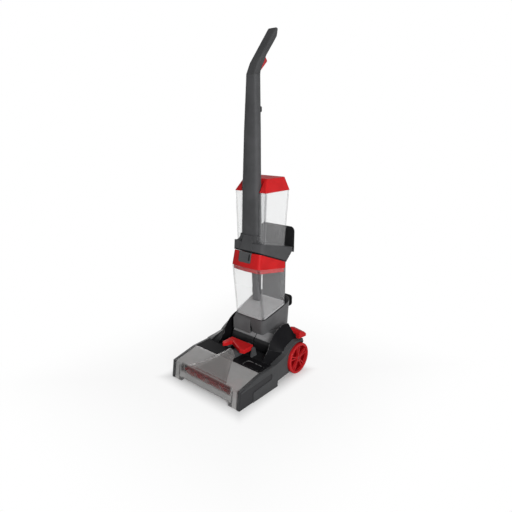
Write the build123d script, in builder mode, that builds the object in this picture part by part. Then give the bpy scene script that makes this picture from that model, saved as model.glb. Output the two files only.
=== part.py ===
from build123d import *
from math import atan2, cos, degrees, hypot, radians, sin, sqrt
import os

# Upright carpet washer: a wheeled base with a brushed suction nozzle and a tower that reclines on it.
# Millimetres, +Z up, the front faces -Y, origin on the floor at the middle of the outline.

os.makedirs("parts", exist_ok=True)

# Overall places
front_y = -210.0
pivot_y = 65.0
pivot_z = 85.0

# Fits, and how far a cut runs past the face that it opens
slip = 0.4
run = 0.05
seat = 0.2
past = 1.0

# Side panels: a rail beside the nozzle that runs into the rear wheel arch
rail_x = 153.5
rail_wall = 10.5
rail_low_step_y = -29.0
rail_step = 19.0
nozzle_lean = 7.5
nozzle_front_z = 59.0
nozzle_crown = 96.0
nozzle_top_z = 77.0
rail_rear_z = 80.0
arch_x = 148.5
arch_wall = 13.5
arch_taper = 64.0
arch_rear_inset = 21.0
arch_rear_rise = 4.0
arch_line = ((18.0, -12.0), (52.0, 9.5), (72.0, 16.0), (100.0, 9.0))
arch_shed = 5.0
panel_fillet = 3.5
grip_depth = 1.6
grip_pad_y = -148.0
grip_rear_y = -57.0
grip_top = (54.0, 60.0)
grip_low = (33.0, 39.0)
grip_r = 8.0

# Pivot guards: the black cheeks that carry the tower's trunnions
cheek_x = 100.0
guard_front_y = -45.0
guard_rear_inset = 4.0
guard_r = 82.0
guard_low_z = 16.0
guard_wall = 4.0
guard_hollow_z = 58.0
guard_arc = (14.0, 70.0)
ledge_y = 95.0
ledge_drop = 4.0

# Wheels
wheel_r = 53.0
wheel_w = 18.0
wheel_proud = 7.0
wheel_y = 85.0
rim_depth = 8.5
spoke_pairs = 5
spoke_w = 3.6
spoke_spread = 17.0
spoke_inset = 3.0
web_at = 4.0
web_t = 3.0
hub_r = 10.5
wheel_round = 2.0
axle_r = 5.0
axle_head_r = 6.5
axle_head = 2.5
wheel_well = 3.5

# Floor pan, deck and its two top covers
pan_t = 5.0
pan_rear_y = 70.0
deck_z = 74.0
deck_t = 3.0
deck_front_y = -107.0
deck_step_y = -46.0
deck_rear_y = 3.0
deck_wall = 3.0
cover_top_t = 4.6
cover_top_rear_y = -50.0
cover_top_corner = 4.0
cover_top_round = 1.5
rim_inner_x = 36.0
hatch_recess = (70.0, 30.0, 1.6)
hatch_recess_r = 9.0
hatch_recess_at = (10.0, 6.0)

# Nozzle cover, suction duct and lip
cover_wall = 3.0
cover_gap = 0.5
corner_block_w = 36.0
window_sill_z = 15.0
corner_low_z = 1.0
brow_round = 5.0
block_depth = 19.0
mouth_depth = 9.0
mouth_inset = 14.0
mouth_corner = 3.0
block_heel = 14.0
duct_wall = 2.2
duct_front_y = -198.0
duct_front_half = 98.0
duct_front_rise = 6.0
duct_neck_y = -84.0
duct_neck_half = 17.5
duct_neck_rise = 27.0
duct_stations = 9
duct_flare = 1.2
duct_climb = 1.6
duct_roof = 0.72
lip_h = 19.0
lip_t = 6.0
lip_lift = 3.0
lip_round = 1.2

# Brush roll and its drive
brush_y = -160.0
brush_z = 32.0
brush_half = 116.0
brush_core_r = 12.0
bristle_root_r = 14.5
bristle_tip_r = 30.0
bristle_w = 1.5
bristle_bite = 1.0
bristle_margin = 4.0
bristle_rows = 4
bristles_per_row = 96
bristle_turn = 1.0
hood_gap = 5.5
hood_wall = 2.5
hood_rib = 5.0
hood_from = -20.0
hood_to = 58.0
stub_r = 4.0
pulley_w = 8.0
pulley_gap = 2.0
brush_pulley_r = 14.0
motor_pulley_r = 9.0
belt_t = 1.6
belt_gap = 0.3
belt_inset = 1.0
bearing_half = 14.0
bearing_corner = 4.0
motor_y = -66.0
motor_z = 45.0
motor_r = 21.0
motor_left_x = -46.0
motor_right_x = 66.0
motor_round = 3.0
motor_foot = (78.0, 21.0)
shaft_r = 3.0
spray_r = 3.5
spray_half = 70.0
jet_count = 3
jet_pitch = 52.0
jet_lug = (6.0, 4.0)
jet_taper = 8.0
spray_gap = (2.0, 5.0)

# Suction elbow on the deck
elbow_half = 17.0
elbow_top_z = 90.5
elbow_crown = 6.0
elbow_wall = 3.0
drum_gap = 1.2

# Nozzle latch
latch_z = 97.0
latch_t = 13.0
latch_rear_y = -25.0
latch_front_y = -80.0
latch_half = 50.0
latch_pin_r = 2.5
latch_pin_y = -33.0
latch_ear_t = 6.0
latch_ear_gap = 0.5
latch_pin_rise = 5.0
latch_round = 3.0
latch_corner = 4.0
latch_heel = (4.0, 14.0)
latch_wing = (16.0, 6.0, 2.0)
latch_scoop = (22.0, 24.0)
latch_horn = (17.0, 10.0)
latch_tip = 8.0
latch_ear_foot = 13.0
latch_ear_half = 7.0
latch_ear_rise = 6.0

# Recline pedal
pedal_in_x = 102.0
pedal_out_x = 146.0
pedal_lift = 14.5
pedal_droop = 3.0
pedal_rear_y = 137.0
pedal_h = 44.0
pedal_pin_r = 3.0
pedal_pin_y = 105.0
pedal_pin_rise = 21.0
pedal_pin_cover = 8.0
pedal_lug = 12.0
pedal_lug_gap = 0.6
pedal_sweep = 2.6
pedal_lug_r = 8.0
pedal_chamfer = 2.0
pedal_gap = 3.0
pedal_edge = 4.0
pedal_brow = 12.0
pedal_shoulder = 10.0
pedal_fall = (8.0, 17.0)
pedal_shed = 6.0

# Tower: drum, lower body, trunnions
drum_r = 50.0
drum_half = 86.0
drum_wall = 3.5
trunnion_r = 14.0
trunnion_bore_r = 9.0
bush_wall = 3.0
shoe_r = 57.0
shoe_split = (14.0, 20.0)
shoe_half = 82.0
shoe_top_at = (22.0, 48.0)
shoe_nose_at = (42.5, 38.0)
shoe_brow_angle = 18.0
shoe_low_angle = 75.0
tub_low_z = 124.0
tub_low_front_y = 24.0
tub_low_half = 46.0
tub_rear_gap = 36.0
tub_wall = 3.0
tub_tail_z = 104.0
tub_tail_half = 31.0
tub_tail_slope = 10.0
tub_rear_half = 74.0
tub_corner = 15.0
tub_rear_corner = 31.0
riser_half = 76.0
riser_shoulder_z = 160.0
riser_y = (10.0, 60.0)

# Suction motor and fan in the drum
suction_motor_r = 34.0
suction_motor_x = (-6.0, 66.0)
suction_motor_round = 4.0
fan_r = 40.0
fan_x = (-58.0, -26.0)
fan_blades = 9
fan_hub_r = 11.0
fan_shaft_r = 4.0
fan_plate = 2.0
fan_blade_t = 2.0
fan_blade_lean = 24.0
fan_shaft_short = 6.0

# Dirty-water tank, its lid, button, separator and float
tank_front_low = (7.0, 188.0)
tank_seat_rise = 34.0
tank_depth = 111.0
tank_half_front = 61.5
tank_half_rear = 72.0
tank_half_front_top = 60.0
tank_half_rear_top = 71.0
tank_front_lean = 19.0
tank_wall = 2.5
tank_corner = 12.0
tank_bow = (2.0, 8.0)
lid_low_z = 367.0
lid_low_fall = 19.0
lid_top_z = 415.0
lid_top_fall = 48.0
lid_half_front = 57.5
lid_half_rear = 67.0
lid_back_lean = 10.0
lid_wall = 3.0
plug_depth = 14.0
plug_flange = 2.5
button_w = 50.0
button_h = 38.0
button_r = 5.0
button_proud = 1.2
button_t = 9.0
button_z = 401.5
button_flange = 2.0
button_gap = 1.0
button_slot = (5.0, 17.0, 2.0)
button_slot_x = 19.0
separator_x = -17.0
separator_y = 66.0
separator_half_top = (19.0, 12.0)
separator_half_low = (14.0, 6.0)
separator_low_z = 225.0
separator_wall = 2.0
separator_corner = 4.0
float_x = -46.0
float_y = 95.0
float_r = 13.0
float_h = 26.0
float_chamfer = 3.0
float_low_z = 236.0
float_rod_r = 2.5
float_stop = (7.0, 4.0)

# Spine between lower body and cradle
spine_half = 40.0
spine_gap = 6.0
spine_depth = 29.0
spine_wall = 3.0

# Cradle that holds the clean-water tank
cradle_gap = 1.2
cradle_floor = 7.0
cradle_rim_z = 447.0
cradle_rim_fall = 36.0
cradle_front_y = 3.0
cradle_front_lean = 5.0
cradle_front_h = 31.0
cradle_half = 63.5
cradle_half_rear = 78.0
cradle_half_low = 61.0
cradle_rear_gap = 42.0
cradle_corner = 14.0
cradle_tail_at = (9.0, 362.0)
plate_half = 71.0
plate_t = 4.0
plate_gap = 36.0
plate_top_z = 481.0
plate_corner = 16.0
grasp_half = 45.0
grasp_depth = 24.0
collar_wall = 3.0
collar_top_z = 470.0
flare_x = 54.0
flare_z = 472.0
flare_y = (5.0, 12.0)
flare_root = 6.0
badge_half = (15.0, 27.0)
badge_low_z = 418.0
badge_proud = 2.2
badge_top_y = -0.5

# Clean-water tank, cap and valve
clean_front_y = 14.0
clean_rear_y = 126.0
clean_rear_top_y = 135.0
clean_half = 58.0
clean_half_top = 65.0
clean_low_z = 440.0
clean_top_z = 607.0
clean_wall = 2.5
clean_corner = 6.0
cap_h = 41.0
cap_over = 1.2
cap_half_top = 50.0
cap_front_top_y = 40.0
cap_rear_top_y = 129.0
cap_corner_top = 6.0
cap_wall = 3.0
valve_r = 8.0
valve_flange = (12.0, 2.5)
valve_y = 100.0

# Neck and grip
neck_z = (436.0, 620.0, 790.0, 950.0)
neck_half = (34.0, 32.0, 27.5, 19.5)
neck_front = (3.5, 5.0, 9.0, 14.5)
neck_depth = (32.0, 32.0, 31.0, 30.0)
neck_bow = (5.0, 5.0, 4.5, 2.5)
neck_wall = 2.8
neck_corner = (6.5, 11.0, 11.0, 8.5)
neck_clear = 5.0
grip_half = 17.5
grip_round = 5.0
grip_bend = 4.0
grip_front = ((23.0, 967.0), (32.0, 984.0), (117.0, 1088.5))
grip_rear = ((126.0, 1087.5), (121.0, 1064.0), (109.0, 1049.0), (73.0, 1007.0), (46.0, 961.0))
trigger_pin_at = (46.0, 972.0)
trigger_pin_r = 2.5
trigger_boss_r = 6.0
trigger_half = 7.0
trigger_gap = 0.8
trigger_wedge = ((70.0, 1009.5), (73.5, 1008.0), (86.0, 993.0), (84.0, 989.5), (52.0, 960.0), (44.0, 966.5))
trigger_heel = ((30.0, 962.0), (36.0, 962.0), (46.0, 966.0), (46.0, 978.0), (36.0, 970.0), (30.0, 968.0))
trigger_room = (
    (28.5, 949.0),
    (28.5, 972.0),
    (36.0, 980.0),
    (65.0, 1016.2),
    (77.6, 1009.0),
    (95.0, 1000.0),
    (70.0, 955.0),
    (50.0, 955.5),
    (40.0, 957.0),
    (40.0, 949.0),
)
rod_r = 2.5
rod_top = (33.0, 961.6)
rod_low = (23.9, 436.0)
rod_travel = 2.6
upper_hook_z = 850.0
upper_hook_r = 5.0
upper_hook_out = 21.0
upper_hook_flange = (7.0, 2.0)
upper_hook_half = 9.0
upper_hook_corner = 5.0
upper_hook_lip = (8.0, 18.0)

# Rear fittings
lower_hook_half = 30.0
lower_hook_z = 176.0
lower_hook_h = 36.0
lower_hook_t = 5.0
lower_hook_end_y = 210.0
lower_hook_round = 10.0
switch_z = 152.0
switch_half = (12.0, 9.0)
switch_gap = 0.8
switch_t = 6.0
switch_proud = 1.5
switch_pin_r = 0.9
switch_pin = 3.0
switch_chamfer = 0.8
gland_x = 22.0
gland_z = 114.0
gland_r = 8.5
gland_bore_r = 4.2
gland_len = 12.0
screw_r = 3.4
screw_h = 1.6
screw_shank_r = 1.5
screw_low_z = 560.0
screw_pitch = 130.0
screw_count = 3

# Pump and solution tube
pump_half = (22.0, 15.0)
pump_h = 40.0
pump_corner = 5.0
pump_nose = (10.0, 8.0)
tube_r = 4.0
tube_bore_r = 2.5


def keep(builder, name):
    """Label a finished piece and write its STEP file."""
    builder.part.label = name
    export_step(builder.part, f"parts/{name}.step")


def slope_plane(y, z, run_y, rise_z):
    """A plane across X through (y, z) that climbs rise_z over run_y."""
    return Plane(origin=(0, y, z), x_dir=(1, 0, 0), z_dir=(0, -rise_z, run_y))


def on_line(at, a, b):
    """Second coordinate, where the first is at, on the straight line from a to b."""
    return a[1] + (b[1] - a[1]) * (at - a[0]) / (b[0] - a[0])


def plan(z, front, rear, half_front, half_rear, corner, bow=0):
    """A plan section at height z with rounded corners, symmetric about X = 0, its front bowed out by bow."""
    with BuildSketch(Plane.XY.offset(z)) as section:
        with BuildLine():
            if bow:
                ThreePointArc((-half_front, front), (0, front - bow), (half_front, front))
            else:
                Line((-half_front, front), (half_front, front))
            Polyline((half_front, front), (half_rear, rear), (-half_rear, rear), (-half_front, front))
        make_face()
        fillet(section.vertices(), corner)
    return section.sketch


# Places worked out from the sizes above
rail_in_x = rail_x - rail_wall
arch_in_x = arch_x - arch_wall
wheel_top_z = 2 * wheel_r
arch_shoulder, arch_crest, arch_top, arch_fall = [(y, wheel_top_z + rise) for y, rise in arch_line]
arch_rear_y = wheel_y + wheel_r - arch_rear_inset
arch_rear_z = wheel_top_z + arch_rear_rise
guard_rear_y = wheel_y + wheel_r - guard_rear_inset
ledge_z = wheel_top_z - ledge_drop
pedal_top_z = ledge_z + pedal_h
deck_wall_x = brush_half
nozzle_front_top = (front_y + nozzle_lean, nozzle_front_z)
nozzle_crown_at = (front_y + nozzle_crown, nozzle_top_z)
rail_rear_at = (rail_low_step_y, rail_rear_z)
cover_half = rail_in_x - cover_gap
cover_rear_y = deck_front_y - cover_gap
wheel_out_x = arch_x + wheel_proud
wheel_in_x = wheel_out_x - wheel_w
well_x = wheel_in_x - wheel_well
seat_plane = slope_plane(*tank_front_low, tank_depth, tank_seat_rise)
tank_rear_y = tank_front_low[0] + tank_depth
tank_low_z = tank_front_low[1]
spine_front_y = tank_rear_y + spine_gap
spine_rear_y = spine_front_y + spine_depth
tube_y = (spine_front_y + spine_rear_y) / 2
tub_rear_y = tank_rear_y + tub_rear_gap
cradle_rear_y = tank_rear_y + cradle_rear_gap
cradle_tail = (tank_rear_y + cradle_tail_at[0], cradle_tail_at[1])
plate_y = tank_rear_y + plate_gap
lid_front_low = (tank_front_low[0] - tank_front_lean, lid_low_z)
lid_front_top = (lid_front_low[0] + lid_back_lean, lid_top_z)
lid_plane = slope_plane(*lid_front_low, tank_rear_y - lid_front_low[0], -lid_low_fall)
parting_plane = slope_plane(*lid_front_top, tank_rear_y - lid_front_top[0], -lid_top_fall)
rim_plane = slope_plane(cradle_front_y, cradle_rim_z, cradle_rear_y - cradle_front_y, -cradle_rim_fall)
cradle_rear_z = cradle_rim_z - cradle_rim_fall
tail_plane = slope_plane(*cradle_tail, cradle_rear_y - cradle_tail[0], cradle_rear_z - cradle_tail[1])
pocket_floor = cradle_gap + cradle_floor
notch_half = neck_half[0] + neck_clear
notch_y = neck_front[0] + neck_depth[0] + neck_clear


def around_pivot(radius, angle):
    """The point at radius from the pivot, angle degrees above the line to the front."""
    return (pivot_y - radius * cos(radians(angle)), pivot_z + radius * sin(radians(angle)))


def nozzle_top(y):
    """Height of the nozzle's top skin at y."""
    if y < nozzle_crown_at[0]:
        return on_line(y, nozzle_front_top, nozzle_crown_at)
    return on_line(y, nozzle_crown_at, rail_rear_at)


def neck_at(z, values):
    """A neck size at height z, between the sections that are given."""
    for low, high, a, b in zip(neck_z, neck_z[1:], values, values[1:]):
        if z <= high:
            return on_line(z, (low, a), (high, b))
    return values[-1]


def arch_section(x):
    """The arch's outline at x: its top sheds down towards the outside."""
    shed = arch_shed * (abs(x) - arch_in_x) / arch_wall
    shoulder, crest, top, fall = [
        (y, z - shed) for y, z in (arch_shoulder, arch_crest, arch_top, arch_fall)
    ]
    with BuildSketch(Plane.YZ.offset(x)) as section:
        with BuildLine():
            Polyline((guard_front_y, rail_step), (guard_front_y, rail_rear_z), shoulder)
            ThreePointArc(shoulder, crest, top)
            Polyline(
                top,
                fall,
                (arch_rear_y, arch_rear_z - shed),
                (arch_rear_y, wheel_r),
                (wheel_y, wheel_r),
                (wheel_y, rail_step),
                (guard_front_y, rail_step),
            )
        make_face()
    return section.sketch


# Side panels
for side, sign in (("left", -1), ("right", 1)):
    with BuildPart() as panel:
        with BuildSketch(Plane.YZ.offset(sign * rail_in_x)):
            with BuildLine():
                Polyline(
                    (front_y, 0),
                    nozzle_front_top,
                    nozzle_crown_at,
                    rail_rear_at,
                    (rail_low_step_y, 0),
                    close=True,
                )
            make_face()
        extrude(amount=sign * rail_wall)
        loft([arch_section(sign * x) for x in (arch_in_x, rail_x)], ruled=True)
        with BuildSketch(Plane.XY):
            with BuildLine():
                Polyline(
                    (sign * rail_x, rail_low_step_y),
                    (sign * arch_x, rail_low_step_y + arch_taper),
                    (sign * arch_x, arch_rear_y + past),
                    (sign * (rail_x + past), arch_rear_y + past),
                    (sign * (rail_x + past), rail_low_step_y),
                    close=True,
                )
            make_face()
        extrude(amount=rail_step + pedal_top_z, mode=Mode.SUBTRACT)
        with BuildSketch(Plane.YZ.offset(sign * well_x)):
            with Locations((wheel_y, wheel_r)):
                Circle(wheel_r + wheel_well)
        extrude(amount=sign * (rail_x - well_x + past), mode=Mode.SUBTRACT)
        with BuildSketch(Plane.YZ.offset(sign * arch_in_x)):
            with Locations((wheel_y, wheel_r)):
                Circle(axle_r)
        extrude(amount=sign * (rail_x - arch_in_x), mode=Mode.SUBTRACT)
        crown = Vector(sign * rail_x, *nozzle_crown_at)
        brow = Vector(sign * rail_x, *nozzle_front_top)
        rims = panel.edges().filter_by(lambda e: min(e.distance_to(crown), e.distance_to(brow)) < run)
        fillet(rims.filter_by(lambda e: abs(abs(e.center().X) - rail_x) < run), panel_fillet)
        with BuildSketch(Plane.YZ.offset(sign * (rail_x - grip_depth))) as grip_room:
            with BuildLine():
                Polyline(
                    (front_y - past, -past),
                    (front_y - past, grip_top[0]),
                    (grip_rear_y, grip_top[1]),
                    (grip_rear_y, grip_low[1]),
                    (grip_pad_y, grip_low[0]),
                    (grip_pad_y, -past),
                    close=True,
                )
            make_face()
            fillet(grip_room.vertices().filter_by(lambda v: v.X > front_y and v.Y > 0), grip_r)
        extrude(amount=sign * (grip_depth + past), mode=Mode.SUBTRACT)
    keep(panel, f"side_panel_{side}")

# Pivot guards
guard_start, guard_mid = [around_pivot(guard_r, angle) for angle in guard_arc]
guard_end = (ledge_y, pivot_z + sqrt(guard_r**2 - (ledge_y - pivot_y) ** 2))
outer_end = (ledge_y, on_line(ledge_y, arch_top, arch_fall))
for side, sign in (("left", -1), ("right", 1)):
    with BuildPart() as guard:
        for x, start, middle, end in (
            (cheek_x, guard_start, guard_mid, guard_end),
            (arch_in_x, arch_shoulder, arch_crest, outer_end),
        ):
            with BuildSketch(Plane.YZ.offset(sign * x)):
                with BuildLine():
                    Polyline((guard_front_y, guard_low_z), (guard_front_y, deck_z), start)
                    ThreePointArc(start, middle, end)
                    Polyline(
                        end,
                        (ledge_y, ledge_z),
                        (guard_rear_y, ledge_z),
                        (guard_rear_y, guard_low_z),
                        (guard_front_y, guard_low_z),
                    )
                make_face()
        loft(ruled=True)
        with BuildSketch(Plane.XY.offset(guard_low_z)):
            with Locations((sign * (cheek_x + arch_in_x) / 2, (guard_front_y + guard_rear_y) / 2)):
                Rectangle(
                    arch_in_x - cheek_x - 2 * guard_wall,
                    guard_rear_y - guard_front_y - 2 * guard_wall,
                )
        extrude(amount=guard_hollow_z - guard_low_z, mode=Mode.SUBTRACT)
        with BuildSketch(Plane.YZ.offset(sign * (cheek_x + guard_wall))):
            with Locations((wheel_y, wheel_r)):
                Circle(axle_r + guard_wall)
        extrude(amount=sign * (arch_in_x - cheek_x - guard_wall))
        with BuildSketch(Plane.YZ.offset(sign * cheek_x)):
            with Locations((wheel_y, wheel_r)):
                Circle(axle_r)
        extrude(amount=sign * (arch_in_x - cheek_x), mode=Mode.SUBTRACT)
        with BuildSketch(Plane.YZ.offset(sign * cheek_x)):
            with Locations((pivot_y, pivot_z)):
                Circle(trunnion_r + bush_wall)
        extrude(amount=sign * (arch_in_x - cheek_x), mode=Mode.SUBTRACT)
    keep(guard, f"pivot_guard_{side}")

    with BuildPart() as bush:
        with BuildSketch(Plane.YZ.offset(sign * cheek_x)):
            with Locations((pivot_y, pivot_z)):
                Circle(trunnion_r + bush_wall)
                Circle(trunnion_r + run, mode=Mode.SUBTRACT)
        extrude(amount=sign * (arch_in_x - cheek_x))
    keep(bush, f"pivot_bush_{side}")

    with BuildPart() as axle:
        with BuildSketch(Plane.YZ.offset(sign * cheek_x)):
            with Locations((wheel_y, wheel_r)):
                Circle(axle_r)
        extrude(amount=sign * (wheel_out_x - 2 * axle_head - cheek_x))
        with BuildSketch(Plane.YZ.offset(sign * (wheel_out_x - 2 * axle_head))):
            with Locations((wheel_y, wheel_r)):
                Circle(axle_head_r)
        extrude(amount=sign * axle_head)
        chamfer(axle.faces().sort_by(Axis.X)[-1 if sign > 0 else 0].edges(), axle_head / 3)
    keep(axle, f"wheel_axle_{side}")

    with BuildPart() as wheel:
        with BuildSketch(Plane.YZ.offset(sign * wheel_in_x)):
            with Locations((wheel_y, wheel_r)):
                Circle(wheel_r)
                Circle(wheel_r - rim_depth, mode=Mode.SUBTRACT)
        extrude(amount=sign * wheel_w)
        fillet(wheel.edges().filter_by(GeomType.CIRCLE).sort_by(SortBy.RADIUS)[-2:], wheel_round)
        with BuildSketch(Plane.YZ.offset(sign * (wheel_in_x + web_at))):
            with Locations((wheel_y, wheel_r)):
                Circle(wheel_r - rim_depth / 2)
        extrude(amount=sign * web_t)
        with BuildSketch(Plane.YZ.offset(sign * (wheel_in_x + web_at))):
            with Locations((wheel_y, wheel_r)):
                with PolarLocations(0, spoke_pairs, start_angle=90):
                    for lean in (-spoke_spread / 2, spoke_spread / 2):
                        with Locations(Rotation(0, 0, lean)):
                            with Locations(((wheel_r - rim_depth / 2) / 2, 0)):
                                Rectangle(wheel_r - rim_depth / 2, spoke_w)
        extrude(amount=sign * (wheel_w - web_at - spoke_inset))
        with BuildSketch(Plane.YZ.offset(sign * wheel_in_x)):
            with Locations((wheel_y, wheel_r)):
                Circle(hub_r)
        extrude(amount=sign * (wheel_w - spoke_inset / 2))
        with BuildSketch(Plane.YZ.offset(sign * wheel_in_x)):
            with Locations((wheel_y, wheel_r)):
                Circle(axle_r + run)
        extrude(amount=sign * wheel_w, mode=Mode.SUBTRACT)
        with BuildSketch(Plane.YZ.offset(sign * (wheel_out_x - 2 * axle_head - seat))):
            with Locations((wheel_y, wheel_r)):
                Circle(axle_head_r + slip)
        extrude(amount=sign * 3 * axle_head, mode=Mode.SUBTRACT)
    keep(wheel, f"wheel_{side}")

# Floor pan between the guards
with BuildPart() as pan:
    with BuildSketch(Plane.XY.offset(guard_low_z)):
        with BuildLine():
            Polyline(
                (-deck_wall_x, deck_front_y),
                (deck_wall_x, deck_front_y),
                (deck_wall_x, guard_front_y),
                (cheek_x, guard_front_y),
                (cheek_x, pan_rear_y),
                (-cheek_x, pan_rear_y),
                (-cheek_x, guard_front_y),
                (-deck_wall_x, guard_front_y),
                close=True,
            )
        make_face()
    extrude(amount=pan_t)
keep(pan, "floor_pan")

# Deck over the brush motor, with the wall behind the brush
with BuildPart() as deck:
    with BuildSketch(Plane.XY.offset(deck_z - deck_t)):
        with BuildLine():
            Polyline(
                (-cover_half, deck_front_y),
                (cover_half, deck_front_y),
                (cover_half, deck_step_y),
                (cheek_x - slip, deck_step_y),
                (cheek_x - slip, deck_rear_y),
                (slip - cheek_x, deck_rear_y),
                (slip - cheek_x, deck_step_y),
                (-cover_half, deck_step_y),
                close=True,
            )
        make_face()
    extrude(amount=deck_t)
    with BuildSketch(Plane.XY.offset(guard_low_z + pan_t)):
        with Locations((0, deck_front_y + deck_wall / 2)):
            Rectangle(2 * deck_wall_x, deck_wall)
    extrude(amount=deck_z - deck_t - guard_low_z - pan_t)
keep(deck, "deck")

with BuildPart() as deck_rim:
    with BuildSketch(Plane.XY.offset(deck_z)):
        with Locations((-(rim_inner_x + cover_half) / 2, (deck_front_y + cover_top_rear_y) / 2)):
            RectangleRounded(cover_half - rim_inner_x, cover_top_rear_y - deck_front_y, cover_top_corner)
    extrude(amount=cover_top_t)
    fillet(deck_rim.faces().sort_by(Axis.Z)[-1].edges(), cover_top_round)
keep(deck_rim, "deck_rim")

with BuildPart() as hatch:
    with BuildSketch(Plane.XY.offset(deck_z)):
        with Locations(((rim_inner_x + cover_half) / 2, (deck_front_y + cover_top_rear_y) / 2)):
            RectangleRounded(cover_half - rim_inner_x, cover_top_rear_y - deck_front_y, cover_top_corner)
    extrude(amount=cover_top_t)
    fillet(hatch.faces().sort_by(Axis.Z)[-1].edges(), cover_top_round)
    with BuildSketch(Plane.XY.offset(deck_z + cover_top_t - hatch_recess[2])):
        recess_x = (rim_inner_x + cover_half) / 2 + hatch_recess_at[0]
        with Locations((recess_x, deck_front_y + hatch_recess_at[1] + hatch_recess[1] / 2)):
            RectangleRounded(hatch_recess[0], hatch_recess[1], hatch_recess_r)
    extrude(amount=hatch_recess[2], mode=Mode.SUBTRACT)
keep(hatch, "belt_cover")

# Nozzle cover: a leaning front wall and a sloping top, open below between its corner blocks
with BuildPart() as cover:
    with BuildSketch(Plane.YZ.offset(-cover_half)):
        with BuildLine():
            Polyline(
                (front_y + corner_low_z * nozzle_lean / nozzle_front_z, corner_low_z),
                nozzle_front_top,
                nozzle_crown_at,
                (cover_rear_y, nozzle_top(cover_rear_y)),
                (cover_rear_y, nozzle_top(cover_rear_y) - cover_wall),
                (nozzle_crown_at[0], nozzle_top_z - cover_wall),
                (nozzle_front_top[0] + cover_wall, nozzle_front_z - cover_wall),
                (front_y + cover_wall + corner_low_z * nozzle_lean / nozzle_front_z, corner_low_z),
                close=True,
            )
        make_face()
    extrude(amount=2 * cover_half)
    brow = Vector(cover_half, *nozzle_front_top)
    fillet(cover.edges().filter_by(Axis.X).filter_by(lambda e: e.distance_to(brow) < run), brow_round)
    window_half = cover_half - corner_block_w
    with BuildSketch(Plane.XZ.offset(past - front_y)):
        with Locations((0, window_sill_z / 2)):
            Rectangle(2 * window_half, window_sill_z)
    extrude(amount=-(nozzle_lean + cover_wall + 2 * past), mode=Mode.SUBTRACT)
    block_top_z = nozzle_top(front_y + block_depth / 2) - cover_wall
    for sign in (-1, 1):
        with BuildSketch(Plane.YZ.offset(sign * window_half)):
            with BuildLine():
                Polyline(
                    (front_y + cover_wall, corner_low_z),
                    (nozzle_front_top[0] + cover_wall - slip, nozzle_front_z - cover_wall - slip),
                    (nozzle_front_top[0] + block_depth / 2, block_top_z),
                    (front_y + block_depth, corner_low_z + block_heel),
                    (front_y + block_depth / 2, corner_low_z),
                    close=True,
                )
            make_face()
        extrude(amount=sign * cover_wall)
    mouth_y = nozzle_front_top[0] + cover_wall + mouth_depth
    with BuildSketch(Plane.XY.offset(nozzle_front_z - 2 * cover_wall)):
        with Locations((0, mouth_y)):
            RectangleRounded(2 * (duct_front_half - mouth_inset), mouth_depth, mouth_corner)
    extrude(amount=4 * cover_wall, mode=Mode.SUBTRACT)
keep(cover, "nozzle_cover")


def duct_section(y, half, base, top):
    """Sketch a duct section with a crowned roof on the plane at y."""
    with BuildSketch(Plane(origin=(0, y, 0), x_dir=(1, 0, 0), z_dir=(0, -1, 0))) as section:
        with BuildLine():
            shoulder = base + (top - base) * duct_roof
            Polyline((-half * duct_roof, shoulder), (-half, base), (half, base), (half * duct_roof, shoulder))
            ThreePointArc((half * duct_roof, shoulder), (0, top), (-half * duct_roof, shoulder))
        make_face()
    return section.sketch


# Suction duct: a delta roof on the nozzle cover that draws together into a neck
outer_sections = []
inner_sections = []
for n in range(duct_stations):
    share = n / (duct_stations - 1)
    y = duct_front_y + share * (duct_neck_y - duct_front_y)
    half = duct_neck_half + (duct_front_half - duct_neck_half) * (1 - share) ** duct_flare
    rise = duct_front_rise + (duct_neck_rise - duct_front_rise) * share**duct_climb
    base = nozzle_top(y)
    sunk = y < cover_rear_y
    outer_sections.append(duct_section(y, half, base - duct_wall if sunk else base, base + rise))
    floor = base - 2 * duct_wall if sunk else base + duct_wall
    inner_sections.append(duct_section(y, half - duct_wall, floor, base + rise - duct_wall))

with BuildPart() as duct_core:
    loft(inner_sections, ruled=True)

with BuildPart() as below_duct:
    with BuildSketch(Plane.YZ.offset(-cover_half)):
        with BuildLine():
            Polyline(
                (front_y - past, 0),
                (front_y - past, nozzle_front_z - past),
                nozzle_front_top,
                nozzle_crown_at,
                (cover_rear_y, nozzle_top(cover_rear_y)),
                (cover_rear_y, 0),
                close=True,
            )
        make_face()
    extrude(amount=2 * cover_half)

with BuildPart() as duct:
    loft(outer_sections, ruled=True)
    add(duct_core.part, mode=Mode.SUBTRACT)
    add(below_duct.part, mode=Mode.SUBTRACT)
keep(duct, "suction_duct")

with BuildPart() as lip:
    lip_y = front_y + cover_wall + mouth_depth
    lip_low_z = corner_low_z + lip_lift
    with BuildSketch(Plane.YZ.offset(-window_half)):
        with BuildLine():
            Polyline(
                (lip_y, lip_low_z),
                (lip_y + nozzle_lean / 3, lip_low_z + lip_h),
                (lip_y + nozzle_lean / 3 + lip_t / 2, lip_low_z + lip_h),
                (lip_y + lip_t, lip_low_z),
                close=True,
            )
        make_face()
    extrude(amount=2 * window_half)
    fillet(lip.edges().filter_by(Axis.X).sort_by(Axis.Z)[:2], lip_round)
keep(lip, "suction_lip")

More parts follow.
